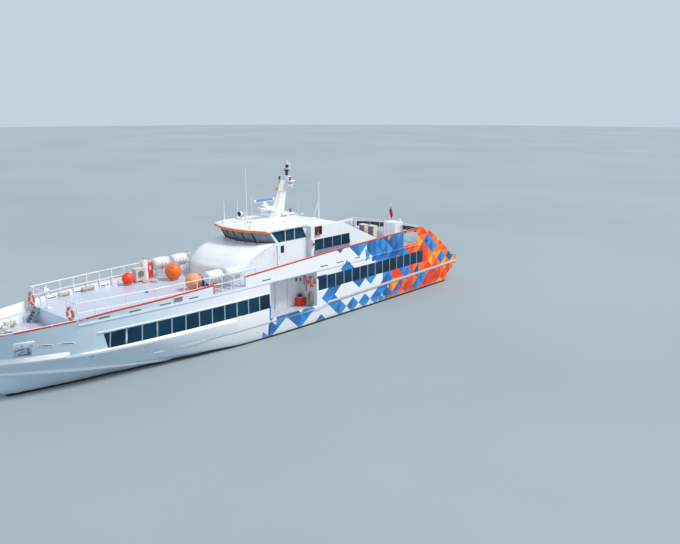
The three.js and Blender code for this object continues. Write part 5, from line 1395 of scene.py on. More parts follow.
scan = Maker()
core = bar_outline(0.08, SCAN_LOW, SCAN_HIGH, 0.05)
for low, high, finish in ((-SCAN_REACH, -0.76, 1), (-0.76, 0.76, 0), (0.76, SCAN_REACH, 1)):
    scan.coat(finish).prism(core, "x", SCAN_X + low, SCAN_X + high)
scan.finish = 1
for x in (-0.76, 0.76):
    scan.prism(bar_outline(0.084, SCAN_LOW - 0.004, SCAN_HIGH + 0.004, 0.05), "x", SCAN_X + x - 0.012,
        SCAN_X + x + 0.012)
scan.prism(bar_outline(0.083, SCAN_LOW - 0.003, SCAN_LOW + 0.035, 0.015), "x", SCAN_X - 0.75,
    SCAN_X + 0.75)
scan.turned([(0.108, 0), (0.108, 0.07), (0.085, 0.09), (0.075, 0.112)], (SCAN_X, 0, 8.0605), sides=28)
scan.finish = 2
for k in range(6):
    a = math.pi * k / 3
    scan.turned([(0.009, 0), (0.009, 0.006)], (SCAN_X + 0.095 * math.cos(a), 0.095 * math.sin(a), 8.13),
        sides=6)
scan.piece("scanner_bar", [blue_enamel, white_enamel, steel], "blue_plastic", "scanner", bevel=0.002,
    stands_for=["radar_scanner"])
LAMP_AT = Vector((-0.42, -1.21, 7.32))
lamp = Maker()
lamp.turned([(0.05, -0.25), (0.13, -0.22), (0.172, -0.15), (0.178, 0.14), (0.192, 0.155), (0.192, 0.195),
        (0.17, 0.2)], LAMP_AT, (1, 0, 0), 36)
lamp.turned([(0.07, 0), (0.07, 0.03), (0.045, 0.05), (0.04, 0.085)], (LAMP_AT.x, LAMP_AT.y, 7.033),
    sides=20)
fork = [LAMP_AT + Vector((0, 0.205 * math.cos(a), 0.2 * math.sin(a) - 0.01))
    for a in (math.radians(d) for d in range(180, 361, 15))]
lamp.tube(fork, 0.016, 8)
for s in (-1, 1):
    lamp.turned([(0.035, 0), (0.035, 0.03)], LAMP_AT + Vector((0, 0.18 * s, 0)), (0, s, 0), 12)
lamp.coat(1).turned([(0.168, 0), (0.16, 0.012), (0.08, 0.022), (0, 0.025)],
    LAMP_AT + Vector((0.196, 0, 0)), (1, 0, 0), 32)
lamp.finish = 2
for k in range(4):
    lamp.ring(LAMP_AT + Vector((-0.1 + 0.035 * k, 0, 0)), (1, 0, 0), 0.175, 0.008, 32, 6)
for z in (7.25, 7.39):
    lamp.block((-0.225, -1.37, z - 0.006), (-0.215, -1.05, z + 0.006))
lamp.piece("searchlight_drum", [white_enamel, window_glass, black_enamel], "white_paint", "lamp",
    stands_for=["searchlight"])

# %% [markdown]
# The bridge roof carries two floodlights over the visor, a pair of horns and handholds. Their feet
# are set by a ray dropped on the solid roof, so each stands on the crown and doesn't float over it.

# %% Gear on the bridge roof and the lounge
roof_tree = tree_of("bridge_roof")
lounge_tree = tree_of("lounge")


def top_at(tree, x, y):
    return tree.ray_cast(Vector((x, y, 30)), Vector((0, 0, -1)))[0].z


roof_gear = Maker()
for y in (-1.35, 1.35):
    z = top_at(roof_tree, 1, y)
    roof_gear.coat(0).tube([(1, y, z - 0.01), (1, y, z + 0.07)], 0.018, 8)
    roof_gear.turned([(0.04, -0.06), (0.065, -0.02), (0.075, 0.06), (0.08, 0.065)], (1.02, y, z + 0.12),
        (1, 0, -0.25), 20)
    roof_gear.coat(1).turned([(0.07, 0), (0.06, 0.012), (0, 0.015)], (1.083, y, z + 0.104), (1, 0, -0.25),
        20)
for y, long in ((0.42, 0.42), (0.62, 0.34)):
    z = top_at(roof_tree, 0.1, y) + 0.07
    roof_gear.coat(0).turned([(0.022, 0), (0.03, long * 0.6), (0.055, long * 0.88), (0.085, long),
            (0.075, long - 0.005)], (0.05, y, z), (1, 0, 0), 20)
    roof_gear.turned([(0.05, -0.06), (0.05, 0.02)], (0.05, y, z), (1, 0, 0), 16)
    for x in (0.05, 0.25):
        roof_gear.tube([(x, y, z - 0.08), (x, y, z)], 0.014, 6)
for s in (-1, 1):
    for x in (-1, -2.1):
        ends = [(a, 2.05 * s, top_at(roof_tree, a, 2.05 * s) - 0.01) for a in (x, x - 0.5)]
        roof_gear.staple(*ends, (0, 0, 0.08), 0.013)
roof_gear.finish = 2
for x, y in ((0.75, -0.5), (0.75, 0.5), (-0.6, 1.7), (-1.5, 1.75)):
    z = top_at(roof_tree, x, y)
    roof_gear.turned([(0.035, -0.005), (0.035, 0.02), (0.02, 0.05), (0, 0.055)], (x, y, z), sides=14)
roof_gear.piece("bridge_roof_gear", [white_enamel, clear_lens, black_enamel], "white_paint")
band_shadow = enamel("shadow behind the louvres", (0.1, 0.1, 0.14), 0.6, 0.2)
louvre_grey = enamel("louvre grey", (0.27, 0.28, 0.36), 0.5, 0.2)


def louvres(maker, turn, xs, zs, y_at, count, frame, deep, slat_finish=1):
    """A framed bank of level slats on the ship's side. y_at gives the wall's breadth at x and z."""
    (x0, x1), (z0, z1) = xs, zs
    maker.finish = slat_finish
    for k in range(count):
        z = between(z0 + frame, z1 - frame, (k + 0.5) / count)
        half = (z1 - z0 - 2 * frame) / count * 0.46
        rows = []
        for x in (x0 + frame * 0.5, x1 - frame * 0.5):
            y = y_at(x, z)
            rows.append([(x, turn * (y + 0.002), z + half), (x, turn * (y + deep * 0.8), z - half * 0.5),
                    (x, turn * (y + deep * 0.8), z - half), (x, turn * (y + 0.002), z - half)])
        maker.skin(rows, True, True)
    maker.finish = 0
    rim = [(x0, z0), (x1, z0), (x1, z1), (x0, z1)]
    for (xa, za), (xb, zb) in zip(rim, rim[1:] + rim[:1]):
        maker.tube([(xa, turn * (y_at(xa, za) + deep * 0.4), za),
                (xb, turn * (y_at(xb, zb) + deep * 0.4), zb)], frame * 0.6, 4)


for side, turn in SIDES:
    band_of_slats = Maker()
    louvres(band_of_slats, turn, (-6.92, -3.28), (4.6, 4.87), lambda x, z: LOUNGE_SIDE, 5, 0.015, 0.025,
        0)
    band_of_slats.finish = 1
    side_block(band_of_slats, turn, (-6.92, -3.28), (LOUNGE_SIDE - 0.004, LOUNGE_SIDE + 0.004),
        (4.6, 4.87))
    band_of_slats.piece(f"lounge_louvres_{side}", [louvre_grey, band_shadow], "grey_steel")
    pane_row = Maker()
    for k in range(4):
        a, b = -6.9 + 0.905 * k, -6.9 + 0.905 * (k + 1) - 0.04
        side_block(pane_row, turn, (a, b), (LOUNGE_SIDE + 0.001, LOUNGE_SIDE + 0.008), (4.885, 5.62))
    pane_row.finish = 1
    for k in range(1, 4):
        side_block(pane_row, turn, (-6.945 + 0.905 * k, -6.895 + 0.905 * k),
            (LOUNGE_SIDE + 0.001, LOUNGE_SIDE + 0.014), (4.885, 5.62))
    pane_row.piece(f"lounge_panes_{side}", [window_glass, joint_grey], "window_glass", bevel=0.003)
    grille = Maker()
    louvres(grille, turn, (7.77, 8.34), (3.8, 4.12), breadth, 7, 0.035, 0.04)
    grille.piece(f"side_grille_{side}", [white_enamel, louvre_grey], "white_paint")
lounge_gear = Maker()
for x, y in ((-7.4, -1.2), (-8.4, 1)):
    z = top_at(lounge_tree, x, y)
    lounge_gear.turned([(0.16, -0.05), (0.16, 0.1), (0.24, 0.13), (0.24, 0.2), (0.18, 0.26), (0, 0.3)],
        (x, y, z), sides=24)
pole = Vector((-5.59, 1.05, 9.1))
lounge_gear.tube([pole - Vector((0, 0, 0.02)), pole + Vector((-0.02, 0, 0.06)),
        pole + Vector((-0.13, 0, 0.08)), pole + Vector((-0.17, 0, 0.02))], 0.014, 6)
lounge_gear.turned([(0, 0), (0.03, 0.01), (0.042, 0.04), (0.03, 0.07), (0, 0.08)],
    pole + Vector((0, 0, 0.02)), sides=14)
lounge_gear.piece("lounge_roof_vents", white_enamel, "white_paint")
print("louvres and vents made")

# %% [markdown]
# On the foredeck a cream mooring line lies flaked in two round coils. The line is one tube along
# one path: out of the first coil from its middle, across, and into the second. Its length is
# measured along that path.

# %% Rope coils on the foredeck
ROPE = 0.034


def coil_layer(centre, r_from, r_to, layer, turns=4.5, start=0.0):
    points = []
    count = int(turns * 20)
    for k in range(count + 1):
        share = k / count
        a = start + 2 * math.pi * turns * share
        r = between(r_from, r_to, share) + 0.004 * math.sin(5.0 * a + centre[0] * 7)
        points.append(Vector((centre[0] + r * math.cos(a), centre[1] + r * math.sin(a),
                DECK_TOP + ROPE * (0.55 + 0.92 * layer))))
    return points


def path_length(points):
    return sum((Vector(b) - Vector(a)).length for a, b in zip(points, points[1:]))


def heap(centre, start, reverse):
    """Three flat layers, out, in and out again. The turn number goes on from layer to layer."""
    line = []
    for layer, (r_from, r_to) in enumerate(((0.07, 0.25), (0.235, 0.08), (0.095, 0.215))):
        part = coil_layer(centre, r_from, r_to, layer, 4.5, start + math.pi * layer)
        line += part[2:] if line else part
    return line[::-1] if reverse else line


heap_a = heap((6.7, -2.06), 0, False)
heap_b = heap((6.28, -1.72), math.pi, True)
crossing = curve_through([heap_a[-1], heap_a[-1].lerp(heap_b[0], 0.5) + Vector((0, 0, 0.03)), heap_b[0]],
    6)
rope_path = heap_a + crossing[1:-1] + heap_b
rope = Maker().tube(rope_path, ROPE / 2, 8).piece("mooring_line_coils", cream_rope, None)
deck_gear = Maker()
for x, y in ((8.3, -2.75), (8.95, -2.7)):
    deck_gear.coat(0).block((x - 0.2, y - 0.08, DECK_TOP), (x + 0.2, y + 0.08, DECK_TOP + 0.02))
    for dx in (-0.11, 0.11):
        deck_gear.turned([(0.05, 0), (0.05, 0.2), (0.065, 0.21), (0.065, 0.24), (0.03, 0.25)],
            (x + dx, y, DECK_TOP + 0.02), sides=16)
deck_gear.coat(1).block((13.25, -1.25, DECK_TOP + 0.001), (13.52, -0.95, DECK_TOP + 0.05))
deck_gear.tube([(13.42, -1.1, DECK_TOP), (13.42, -1.1, 4.66)], 0.028, 10)
deck_gear.turned([(0.07, -0.16), (0.12, -0.04), (0.165, 0.08), (0.17, 0.085)], (13.44, -1.1, 4.8),
    (0.8, -0.5, 0.1), 24)
deck_gear.coat(2).turned([(0.16, 0), (0.12, 0.012), (0, 0.018)], (13.51, -1.144, 4.81), (0.8, -0.5, 0.1),
    24)
deck_gear.turned([(0.11, 0), (0.11, 0.03)], (8.0, 0, DECK_TOP), sides=24)
deck_gear.piece("foredeck_fittings", [fresh_white, white_enamel, black_enamel], "grey_steel", bevel=0.004)
print("rope:", round(path_length(rope_path), 2), "m")

# %% [markdown]
# The windlass hauls the anchor chain and the ropes. Its shaft carries a warping head at each end,
# flared so that a rope stays on it, and a chain wheel beside the gearbox. Each head is turned from
# its profile. The chain runs from the wheel into its pipe, one link upright and the next flat.

# %% Windlass, chain and bow fittings
windlass = Maker()
windlass.block((15.92, -0.45, 3.001), (16.58, 0.45, 3.05))
windlass.block((16.02, -0.24, 3.05), (16.48, 0.24, 3.46))
windlass.turned([(0.1, -0.02), (0.13, 0), (0.13, 0.2), (0.11, 0.22)], (16.25, 0.05, 3.44), (0, 0, 1), 20)
for s in (-1, 1):
    windlass.block((16.12, s * 0.36 - 0.03, 3.05), (16.38, s * 0.36 + 0.03, 3.46))
windlass.coat(1).tube([(16.25, -0.62, 3.38), (16.25, 0.62, 3.38)], 0.045, 16)
for s in (-1, 1):
    windlass.turned([(0.1, 0), (0.19, 0.012), (0.185, 0.03), (0.115, 0.055), (0.105, 0.09), (0.13, 0.14),
            (0.185, 0.165), (0.19, 0.18), (0.1, 0.19), (0, 0.192)], (16.25, s * 0.42, 3.38), (0, s, 0),
        28)
windlass.turned([(0.15, -0.05), (0.16, -0.03), (0.11, 0), (0.16, 0.03), (0.15, 0.05)],
    (16.25, 0.31, 3.38), (0, 1, 0), 20)
windlass.tube([(16.3, -0.27, 3.42), (16.4, -0.3, 3.62), (16.43, -0.3, 3.72)], 0.012, 8)
windlass.coat(2).turned([(0.022, 0), (0.025, 0.02), (0, 0.045)], (16.43, -0.3, 3.71), sides=12)
for x in (15.97, 16.53):
    for y in (-0.4, -0.13, 0.13, 0.4):
        windlass.turned([(0.018, 0), (0.018, 0.014)], (x, y, 3.05), sides=6)
windlass.piece("windlass_machine", [pale_grey_enamel, steel, black_enamel], "grey_steel", bevel=0.006,
    stands_for=["windlass"])
chain = Maker()
chain_line = [Vector((16.4, 0.31, 3.4)), Vector((16.7, 0.31, 3.3)), Vector((16.95, 0.31, 3.1)),
    Vector((17.0, 0.31, 3.02))]
chain_path = curve_through(chain_line, 5)
chain_long = sum((b - a).length for a, b in zip(chain_path, chain_path[1:]))
LINK = 0.062
for k in range(int(chain_long / LINK)):
    want = (k + 0.5) * LINK
    for a, b in zip(chain_path, chain_path[1:]):
        span = (b - a).length
        if want <= span:
            break
        want -= span
    centre, way = a.lerp(b, want / span), (b - a).normalized()
    wide = Vector((0, 1, 0)) if k % 2 else way.cross(Vector((0, 1, 0)))
    chain.tube(round_row(centre, way * 0.042, wide * 0.025, 1, 12), 0.008, 6, True)
chain.turned([(0.1, 0), (0.1, 0.03), (0.085, 0.04)], (17.0, 0.31, 3.001), sides=24)
chain.piece("anchor_chain", steel, "grey_steel")


def inner_breadth(x, z):
    """Half breadth of the inner face of the bow bulwark."""
    hit = edge_tree.ray_cast(Vector((x, 0, z)), Vector((0, 1, 0)))
    return hit[0].y if hit[0] else None


bow = Maker()
brackets = 0
for x in (14.3, 15.05, 15.45, 16.8, 17.5, 18.2):
    low, high = inner_breadth(x, 3.06), inner_breadth(x, 3.45)
    if low is None or high is None:
        continue
    brackets += 1
    for turn in (1, -1):
        outline = [(low - 0.24, 3.002), (low - 0.004, 3.002), (high - 0.004, 3.45), (high - 0.05, 3.45)]
        bow.skin([[(x + dx, turn * y, z) for y, z in outline] for dx in (-0.008, 0.008)], True, True)
cap_rows = []
for k in range(61):
    x = between(13.75, 18.75, k / 60)
    z = top_edge(x)
    y = breadth(x, z - 0.01, edge_tree)
    cap_rows.append((x, y - 0.035, z + 0.004))
for turn in (1, -1):
    bow.tube([(x, turn * y, z) for x, y, z in cap_rows], 0.022, 8)
    bow.tube([(x, turn * (inner_breadth(x, 3.5) - 0.06), 3.5)
            for x in (14.4, 14.9, 15.4, 15.9, 16.4, 16.9)], 0.016, 8)
bow.finish = 1
for turn in (1, -1):
    for x in (15.6, 16.75):
        y = turn * (inner_breadth(x, 3.3) - 0.16)
        bow.turned([(0.09, 0), (0.09, 0.02), (0.05, 0.05), (0.05, 0.15), (0.085, 0.18), (0.08, 0.2),
                (0, 0.205)], (x, y, 3.001), sides=20)
bow.piece("bow_stiffeners", [white_enamel, steel], "white_paint", bevel=0.003)
print("brackets each side:", brackets, "chain links:", int(chain_long / LINK))

# %% [markdown]
# The sides have small openings: fairleads and outlets with rounded rims, and long slots that drain
# the decks, each with a hinged flap whose dark brown is partly painted shade in the slot. A rim is a
# tube that follows the ship's skin around the hole, and the hole itself is a plate of painted shade
# set a hair in front of the skin.

# %% Fairleads, slots and outlets
# Openings are drawn as dark plates: painted shade
painted_opening_shade = rubber("painted shade in openings", (0.012, 0.013, 0.015), 0.8)
# The flaps' dark brown is partly their own colour and partly painted shade inside the slots
flap_and_slot_shade = rubber("freeing port flap and slot shade", (0.11, 0.09, 0.085), 0.7)


def oval_port(maker, turn, x, z, rx, rz, rim, lean=0.0):
    """An oval hole with a rim on the ship's side. lean tips it along the sheer."""
    loop = []
    for k in range(28):
        a = 2 * math.pi * k / 28
        px, pz = x + rx * math.cos(a), z + rz * math.sin(a) + lean * rx * math.cos(a)
        loop.append((px, pz))
    # The hole is a plate of painted shade, a hair in front of the skin
    maker.finish = 1
    edge = [(px, turn * (breadth(px, pz) + 0.003), pz) for px, pz in loop]
    middle = [((px + x) / 2, turn * (breadth((px + x) / 2, (pz + z) / 2) + 0.003), (pz + z) / 2) for px,
        pz in loop]
    centre = [(x, turn * (breadth(x, z) + 0.003), z)] * 28
    maker.skin([edge, middle, centre], True)
    maker.finish = 0
    if rim:
        maker.tube([(px, turn * (breadth(px, pz) + rim * 0.3), pz) for px, pz in loop], rim, 8, True)


FREEING_PORTS = [(12.05, 12.65, 3.845), (10.3, 10.98, 3.845), (8.5, 9.2, 3.845), (6.72, 7.35, 3.845),
    (1.3, 2.0, 3.885), (-3.9, -3.2, 3.885), (-5.5, -4.8, 3.885), (-7.3, -6.7, 3.885),
    (-10.5, -9.9, 3.885), (-12.3, -11.8, 3.885)]
# Each flap is a dark plate in its slot: a real flap, darkened as painted shade of the slot
for side, turn in SIDES:
    flaps = Maker()
    for x0, x1, z in FREEING_PORTS:
        rows = []
        for x in (x0 + 0.005, (x0 + x1) / 2, x1 - 0.005):
            y = breadth(x, z + 0.09) - 0.012
            rows.append([(x, turn * (y - back), z + up) for back,
                    up in ((0, -0.032), (0, 0.032), (0.01, 0.032), (0.01, -0.032))])
        flaps.skin(rows, True, True)
    flaps.piece(f"freeing_port_flaps_{side}", flap_and_slot_shade, "dark_trim")
for side, turn in SIDES:
    ports = Maker()
    for x, z, rx, rz, rim, lean in ((-15.5, 3.9, 0.24, 0.04, 0, 0), (-17.3, 3.78, 0.3, 0.05, 0.012, 0),
            (15.2, 2.86, 0.4, 0.045, 0.012, 0.17), (14.2, 2.76, 0.42, 0.045, 0.012, 0.18),
            (-10.1, 0.33, 0.09, 0.09, 0.02, 0), (-8.6, 0.42, 0.05, 0.05, 0.014, 0),
            (2.4, 0.62, 0.05, 0.05, 0.014, 0), (9.0, 0.7, 0.045, 0.045, 0.012, 0)):
        if breadth(x + rx, z + lean * rx) and breadth(x - rx, z - lean * rx):
            oval_port(ports, turn, x, z, rx, rz, rim, lean)
    ports.piece(f"side_openings_{side}", [white_enamel, painted_opening_shade], "white_paint")
    box = Maker()
    rows = []
    for x in (15.7, 15.78, 16.15, 16.52, 16.6):
        drop = 0.05 if x in (15.7, 16.6) else 0
        rows.append([(x, turn * (breadth(x, z) + out), z) for z,
                out in ((2.99, -0.01), (2.99, 0.03), (3.1, 0.06), (3.23 - drop, 0.05),
                (3.27 - drop, -0.01))])
    box.skin(rows, True, True)
    box.finish = 1
    for x in (15.84, 16.24):
        box.turned([(0.035, 0), (0.055, 0.01), (0.05, 0.06), (0, 0.07)],
            (x, turn * (breadth(x, 3.06) + 0.03), 3.06), (0, turn, 0), 16)
    box.piece(f"anchor_housing_{side}", [fresh_white, worn_strip], "white_paint", bevel=0.006)
bundle_y = -(inner_breadth(15.5, 3.2) - 0.26)
canvas_roll("canvas_bundle_bow", (14.98, bundle_y, 3.22), (15.54, bundle_y + 0.02, 3.22), 0.15, canvas, 2)
print("side openings made")

# %% [markdown]
# In the boarding recess hang two fire hoses and a mooring rope, and below them stands a red chest.
# The rope hangs on its hook in long loops. Each loop is an ellipse a little different from the
# last, and all of them are one path, so that its length is known.

# %% Recess gear
WALL_X = -2.82
for name, y, high, low in (("fire_hose_inboard", 2.3, 3.09, 2.6),
        ("fire_hose_outboard", 2.5, 3.13, 2.24)):
    hose_line = curve_through([(WALL_X + 0.015, y, high), (WALL_X + 0.06, y, high - 0.05),
            (WALL_X + 0.06, y + 0.01, (high + low) / 2), (WALL_X + 0.05, y, low + 0.04),
            (WALL_X + 0.05, y, low)], 5)
    hose = Maker().tube(hose_line, 0.025, 10).piece(name, red_hose_skin, None)
    nozzle = Maker()
    nozzle.turned([(0, -0.02), (0.026, -0.02), (0.036, 0), (0.032, 0.05), (0.024, 0.08), (0.02, 0.09)],
        (WALL_X + 0.05, y, low - 0.07), sides=14)
    tip = nozzle.piece(name + "_nozzle", red_enamel, "red_plastic")
HANK_TURNS, TURN_STEPS = 9, 26
loops = []
for k in range(HANK_TURNS * TURN_STEPS + 1):
    turn_no = k / TURN_STEPS
    a = 2 * math.pi * turn_no + math.pi / 2
    tall = 0.44 + 0.05 * math.sin(2.1 * turn_no)
    wide = 0.19 + 0.045 * math.cos(2.7 * turn_no)
    loops.append(Vector((WALL_X + 0.014 + 0.034 * turn_no * 0.62 + 0.013 * math.sin(a * 1.5),
            2.94 + wide * math.cos(a), 2.15 - tall + tall * math.sin(a))))
hank = Maker().tube(loops, 0.017, 8).piece("mooring_line_hank", cream_rope, None)
recess = Maker()
recess.block((WALL_X + 0.001, 2.24, 3.09), (WALL_X + 0.09, 2.37, 3.15))
recess.block((-2.79, 1.961, 2.76), (-2.68, 2.0, 2.96))
recess.coat(1).tube([(WALL_X, 2.92, 2.17), (WALL_X + 0.18, 2.92, 2.15), (WALL_X + 0.2, 2.92, 2.2)], 0.012,
    8)
recess.tube([(WALL_X, 2.46, 3.14), (WALL_X + 0.08, 2.5, 3.14), (WALL_X, 2.54, 3.14)], 0.01, 8)
recess.coat(2).block((-2.47, 1.961, 2.8), (-2.27, 1.968, 3.04))
recess.coat(3).block((-2.25, 1.961, 2.6), (-2.02, 1.99, 2.96))
recess.piece("recess_fittings", [red_enamel, steel, green_enamel, white_enamel], "red_plastic",
    bevel=0.003)
chest = Maker()
chest.block((-2.75, 1.995, 1.155), (-2.16, 2.47, 1.6))
chest.block((-2.76, 1.985, 1.585), (-2.15, 2.48, 1.62))
lid = [(1.99, 1.62), (2.475, 1.62), (2.465, 1.655), (2.41, 1.69), (2.23, 1.7), (2.05, 1.69), (2.0, 1.655)]
chest.prism(lid, "x", -2.755, -2.155)
for x in (-2.6, -2.31):
    chest.block((x - 0.02, 2.47, 1.2), (x + 0.02, 2.478, 1.57))
chest.finish = 1
for x in (-2.62, -2.29):
    chest.block((x - 0.025, 2.478, 1.53), (x + 0.025, 2.49, 1.66))
chest.staple((-2.154, 2.12, 1.45), (-2.154, 2.34, 1.45), (0.024, 0, 0), 0.009, 6)
chest.coat(2).ring((-2.46, 2.2, 1.8), (0.25, 0.3, 1), 0.11, 0.045, 28, 10, 1.3)
chest.ring((-2.44, 2.22, 1.88), (0.2, 0.5, 1), 0.09, 0.035, 28, 10, 1.2)
chest.coat(3).block((-2.62, 2.05, 1.701), (-2.3, 2.36, 1.745))
chest.piece("red_chest_shell", [chest_plastic, steel, black_rubber, canister_shell], "red_plastic",
    bevel=0.012, stands_for=["red_chest"])
for side, turn in SIDES:
    leaf = Maker()
    leaf.tube(side_path(turn, [(-1.44, 2.014, 1.24), (-0.36, 2.014, 1.24), (-0.36, 2.014, 3.12),
            (-1.44, 2.014, 3.12)]), 0.008, 6, True)
    leaf.coat(1).staple((-1.38, turn * 2.013, 2.3), (-1.38, turn * 2.013, 2.1), (0, turn * 0.057, 0),
        0.012)
    leaf.piece(f"boarding_door_fittings_{side}", [gasket_rubber, steel], "dark_trim",
        f"{side}_boarding_door")
print("hank of rope:", round(path_length(loops), 2), "m")

# %% [markdown]
# On the after deck two air units stand before the cross bulwark, with cream cases, grey louvres
# and a plate of painted shade behind them. Under the bulwark's top rail runs a vent band: grey
# slats over painted shade. The flag hangs limp on its staff. Its cloth falls in upright pleats, and
# each pleat bends it without stretching, so its flat size stays true.

# %% After deck and flag
UNIT_SPANS = ((-1.925, -1.275), (-1.005, -0.355))
air_units = Maker()
for y0, y1 in UNIT_SPANS:
    air_units.coat(0).block((-13.94, y0, DECK_TOP + 0.07), (-13.505, y1, 4.87))
    for x in (-13.92, -13.6):
        air_units.block((x, y0 + 0.03, DECK_TOP + 0.001), (x + 0.06, y1 - 0.03, DECK_TOP + 0.07))
    air_units.finish = 1
    for k in range(12):
        z = 3.97 + 0.07 * k
        air_units.skin([[(-13.505, y, z), (-13.485, y, z - 0.035), (-13.485, y, z - 0.045),
                (-13.505, y, z - 0.045)] for y in (y0 + 0.06, y1 - 0.06)], True, True)
    # Painted shade: a dark plate behind the louvres
    air_units.coat(2).block((-13.507, y0 + 0.055, 3.91), (-13.5, y1 - 0.055, 4.8))
air_units.finish = 0
for y0, y1 in UNIT_SPANS:
    posts = ((y0, y0 + 0.06, 3.86, 4.86), (y1 - 0.06, y1, 3.86, 4.86))
    for ya, yb, za, zb in (*posts, (y0, y1, 4.79, 4.86), (y0, y1, 3.86, 3.92)):
        air_units.block((-13.51, ya, za), (-13.482, yb, zb))
air_units.piece("air_units_louvred", [cream_enamel, louvre_grey, painted_opening_shade], "cream_paint", bevel=0.004,
    stands_for=["air_units_aft"])
PLATE_FACE = -14.535
RAIL_X = PLATE_FACE - 0.03
cross = Maker()
for y0, y1, low0, low1, high0, high1 in ((-3.05, -0.15, 4.44, 4.72, 4.88, 5.07),
        (1.8, 3.15, 4.74, 4.66, 5.06, 5.05)):
    opening = [(y0, low0), (y1, low1), (y1, high1), (y0, high0)]
    # Painted shade: a dark plate fills each vent opening behind the slats
    cross.coat(1).prism(opening, "x", PLATE_FACE + 0.001, PLATE_FACE + 0.012)
    cross.finish = 2
    for k in range(4):
        t = (k + 0.5) / 4
        ends = ((y0, between(low0, high0, t)), (y1, between(low1, high1, t)))
        cross.tube([(PLATE_FACE + 0.016, y, z) for y, z in ends], 0.009, 6)
cross.finish = 0
top_rail = [(-3.36, 5.09), (-1.6, 5.17), (0.47, 5.24), (2.0, 5.2), (3.36, 5.12)]
cross.tube([(RAIL_X, y, z) for y, z in top_rail], 0.032, 12)
for y, high in ((-3.3, 5.09), (-2.45, 5.13), (-1.63, 5.17), (-0.54, 5.21), (0.47, 5.24), (2.0, 5.2),
        (2.7, 5.16), (3.3, 5.12)):
    cross.tube([(RAIL_X, y, 5.06), (RAIL_X, y, high)], 0.02, 8)
for y in (-1.57, -0.56, 0.3):
    cross.tube([(PLATE_FACE + 0.03, y, DECK_TOP + 0.002), (PLATE_FACE + 0.03, y, 5.05)], 0.026, 10)
cross.finish = 3
for z in (4.55, 4.95):
    cross.tube([(-14.34, 1.775, z + 0.05), (-14.32, 1.81, z + 0.05), (-14.18, 1.81, z - 0.05),
            (-14.16, 1.775, z - 0.05)], 0.012, 8)
cross.tube([(-14.53, 0.62, 3.79), (-14.53, 0.62, 5.2)], 0.022, 8)
cross.coat(0).turned([(0, -0.085), (0.05, -0.07), (0.08, -0.03), (0.085, 0), (0.08, 0.03), (0.05, 0.07),
        (0, 0.085)], (-14.5, 1.51, 5.445), sides=20)
cross.turned([(0.03, 0), (0.03, 0.03)], (-14.5, 1.51, 5.345), sides=12)
cross.piece("cross_bulwark_fittings", [white_enamel, painted_opening_shade, louvre_grey, black_enamel],
    "white_paint")
FLAG_FLY, FLAG_HOIST = 0.9, 0.6
FLAG_DROOP = math.radians(50)
FLY_STEPS, HOIST_STEPS = 72, 48
PLEAT, PLEAT_SWING = 0.165, 1.85
FLAG_TOP = Vector((-14.08, 0.93, 6.56))


def pleat_offset(s):
    """Where the pleated cloth is after a length s along its level run, in small steps."""
    count = 80
    ahead = out = 0
    for k in range(count):
        a = PLEAT_SWING * math.sin(2 * math.pi * (s * (k + 0.5) / count) / PLEAT)
        ahead += math.cos(a) * s / count
        out += math.sin(a) * s / count
    return ahead, out


flag_rows = []
for i in range(FLY_STEPS + 1):
    fly = FLAG_FLY * i / FLY_STEPS
    row = []
    for j in range(HOIST_STEPS + 1):
        hoist = FLAG_HOIST * j / HOIST_STEPS
        s = fly * math.cos(FLAG_DROOP) - hoist * math.sin(FLAG_DROOP)
        drop = fly * math.sin(FLAG_DROOP) + hoist * math.cos(FLAG_DROOP)
        ahead, out = pleat_offset(s)
        row.append(FLAG_TOP + Vector((-0.35 * ahead + 0.94 * out, 0.94 * ahead + 0.35 * out, -drop)))
    flag_rows.append(row)
flag = Maker().skin(flag_rows).piece("ensign", flag_cloth, None, smooth_to=80)
stern = Maker()
stern.turned([(0, 0), (0.035, 0.01), (0.045, 0.04), (0.035, 0.07), (0, 0.08)], (-14.15, 0.85, 6.74),
    sides=14)
stern.coat(1).tube([(-14.132, 0.85, 6.53), (-14.1, 0.89, 6.54), (-14.08, 0.93, 6.555)], 0.004, 6)
stern.piece("staff_truck", [white_enamel, steel], "white_paint")
print("flag hangs from", round(FLAG_TOP.z, 2), "down to",
    round(min(p.z for row in flag_rows for p in row), 2))

# %% [markdown]
# At the stern are the door's window and handle, which ride on the door's body, two deck lights and
# the stern light on the bulkhead. A ray shot in from astern finds the wall that each light stands
# on.

# %% Stern
rear = Maker()
rear.block((-15.462, -0.24, 2.55), (-15.455, 0.24, 3.25))
rear.coat(1).tube([(-15.462, -0.26, 2.53), (-15.462, 0.26, 2.53), (-15.462, 0.26, 3.27),
        (-15.462, -0.26, 3.27)], 0.013, 6, True)
rear.coat(2).staple((-15.455, -0.33, 2.62), (-15.455, -0.33, 2.42), (-0.055, 0, 0), 0.012)
rear.piece("stern_door_fittings", [window_glass, gasket_rubber, steel], "window_glass", "aft_door")
aft_wall = tree_of("stern_bulkhead", "hull", "upper_deck")


def astern_face(y, z):
    hit = aft_wall.ray_cast(Vector((-30, y, z)), Vector((1, 0, 0)))
    return hit[0].x


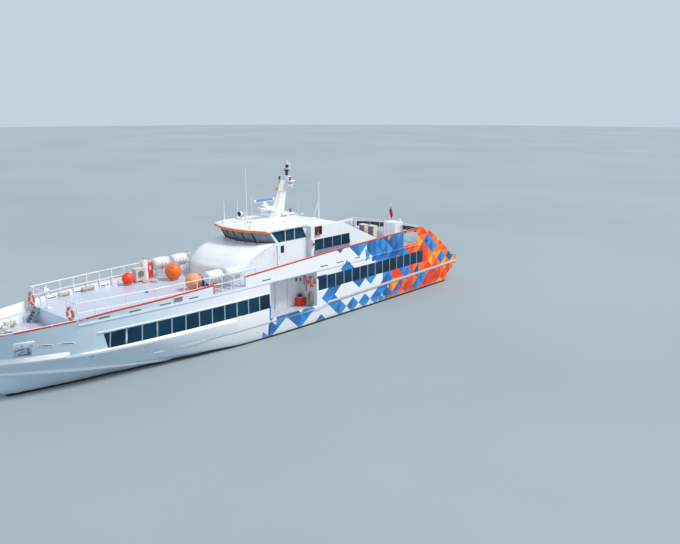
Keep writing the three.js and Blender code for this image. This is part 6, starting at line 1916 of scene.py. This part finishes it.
deck_light = Maker()
for y in (-1.6, 1.6):
    x = astern_face(y, 3.3)
    deck_light.coat(0).turned([(0.075, 0), (0.075, 0.03)], (x, y, 3.3), (-1, 0, 0), 20)
    deck_light.coat(1).turned([(0.06, 0.03), (0.055, 0.07), (0.03, 0.095), (0, 0.1)], (x, y, 3.3),
        (-1, 0, 0), 20)
x = astern_face(0, 3.72)
deck_light.coat(0).block((x - 0.16, -0.09, 3.69), (x + 0.005, 0.09, 3.72))
deck_light.finish = 2
lantern_at = (x - 0.09, 0, 3.72)
deck_light.turned([(0.06, 0), (0.065, 0.03), (0.055, 0.04), (0.055, 0.12), (0.065, 0.13), (0.04, 0.16),
        (0, 0.165)], lantern_at, sides=18)
deck_light.piece("stern_lights", [white_enamel, clear_lens, black_enamel], "white_paint")
print("bulkhead face at", round(astern_face(1.6, 3.3), 2))

# %% [markdown]
# The studio is a pale floor at the height of the waterline, with soft light: one wide sun from high
# on the port side, a little from astern, and a pale sky all round. The floor isn't part of the
# ship.

# %% Floor and light
FLOOR_SPAN = 420.0
SUN_TOWARD = Vector((-0.38, 0.5, 0.8)).normalized()
floor_graph = Graph("studio floor", 0.8)
floor_tone = floor_graph.mix(floor_graph.spread(floor_graph.noise(0.03, 3), 0.3, 0.7),
    (0.29, 0.345, 0.37), (0.33, 0.385, 0.41))
floor_graph.bump(floor_graph.noise(3, 3), 0.01, 0.1)
floor_finish = floor_graph.done(floor_tone)
floor_mesh = bpy.data.meshes.new("studio_floor")
around = [(FLOOR_SPAN * math.cos(math.radians(a)), FLOOR_SPAN * math.sin(math.radians(a)), 0)
    for a in range(0, 360, 5)]
floor_mesh.from_pydata(around, [], [list(range(len(around)))])
floor_mesh.materials.append(floor_finish)
floor = put("studio_floor", floor_mesh)

sun_data = bpy.data.lights.new("wide sun", "SUN")
sun_data.energy = 2.9
sun_data.angle = math.radians(14)
sun_data.color = (1, 0.97, 0.93)
sun = put("wide sun", sun_data)
sun.rotation_euler = SUN_TOWARD.to_track_quat("Z", "Y").to_euler()

sky = bpy.data.worlds.new("pale sky")
sky.use_nodes = True
background = sky.node_tree.nodes["Background"].inputs
background["Color"].default_value = (0.72, 0.82, 0.95, 1)
background["Strength"].default_value = 0.78
bpy.context.scene.world = sky
bpy.context.scene.view_settings.view_transform = "Standard"
print("sun stands at", [round(v, 2) for v in SUN_TOWARD])
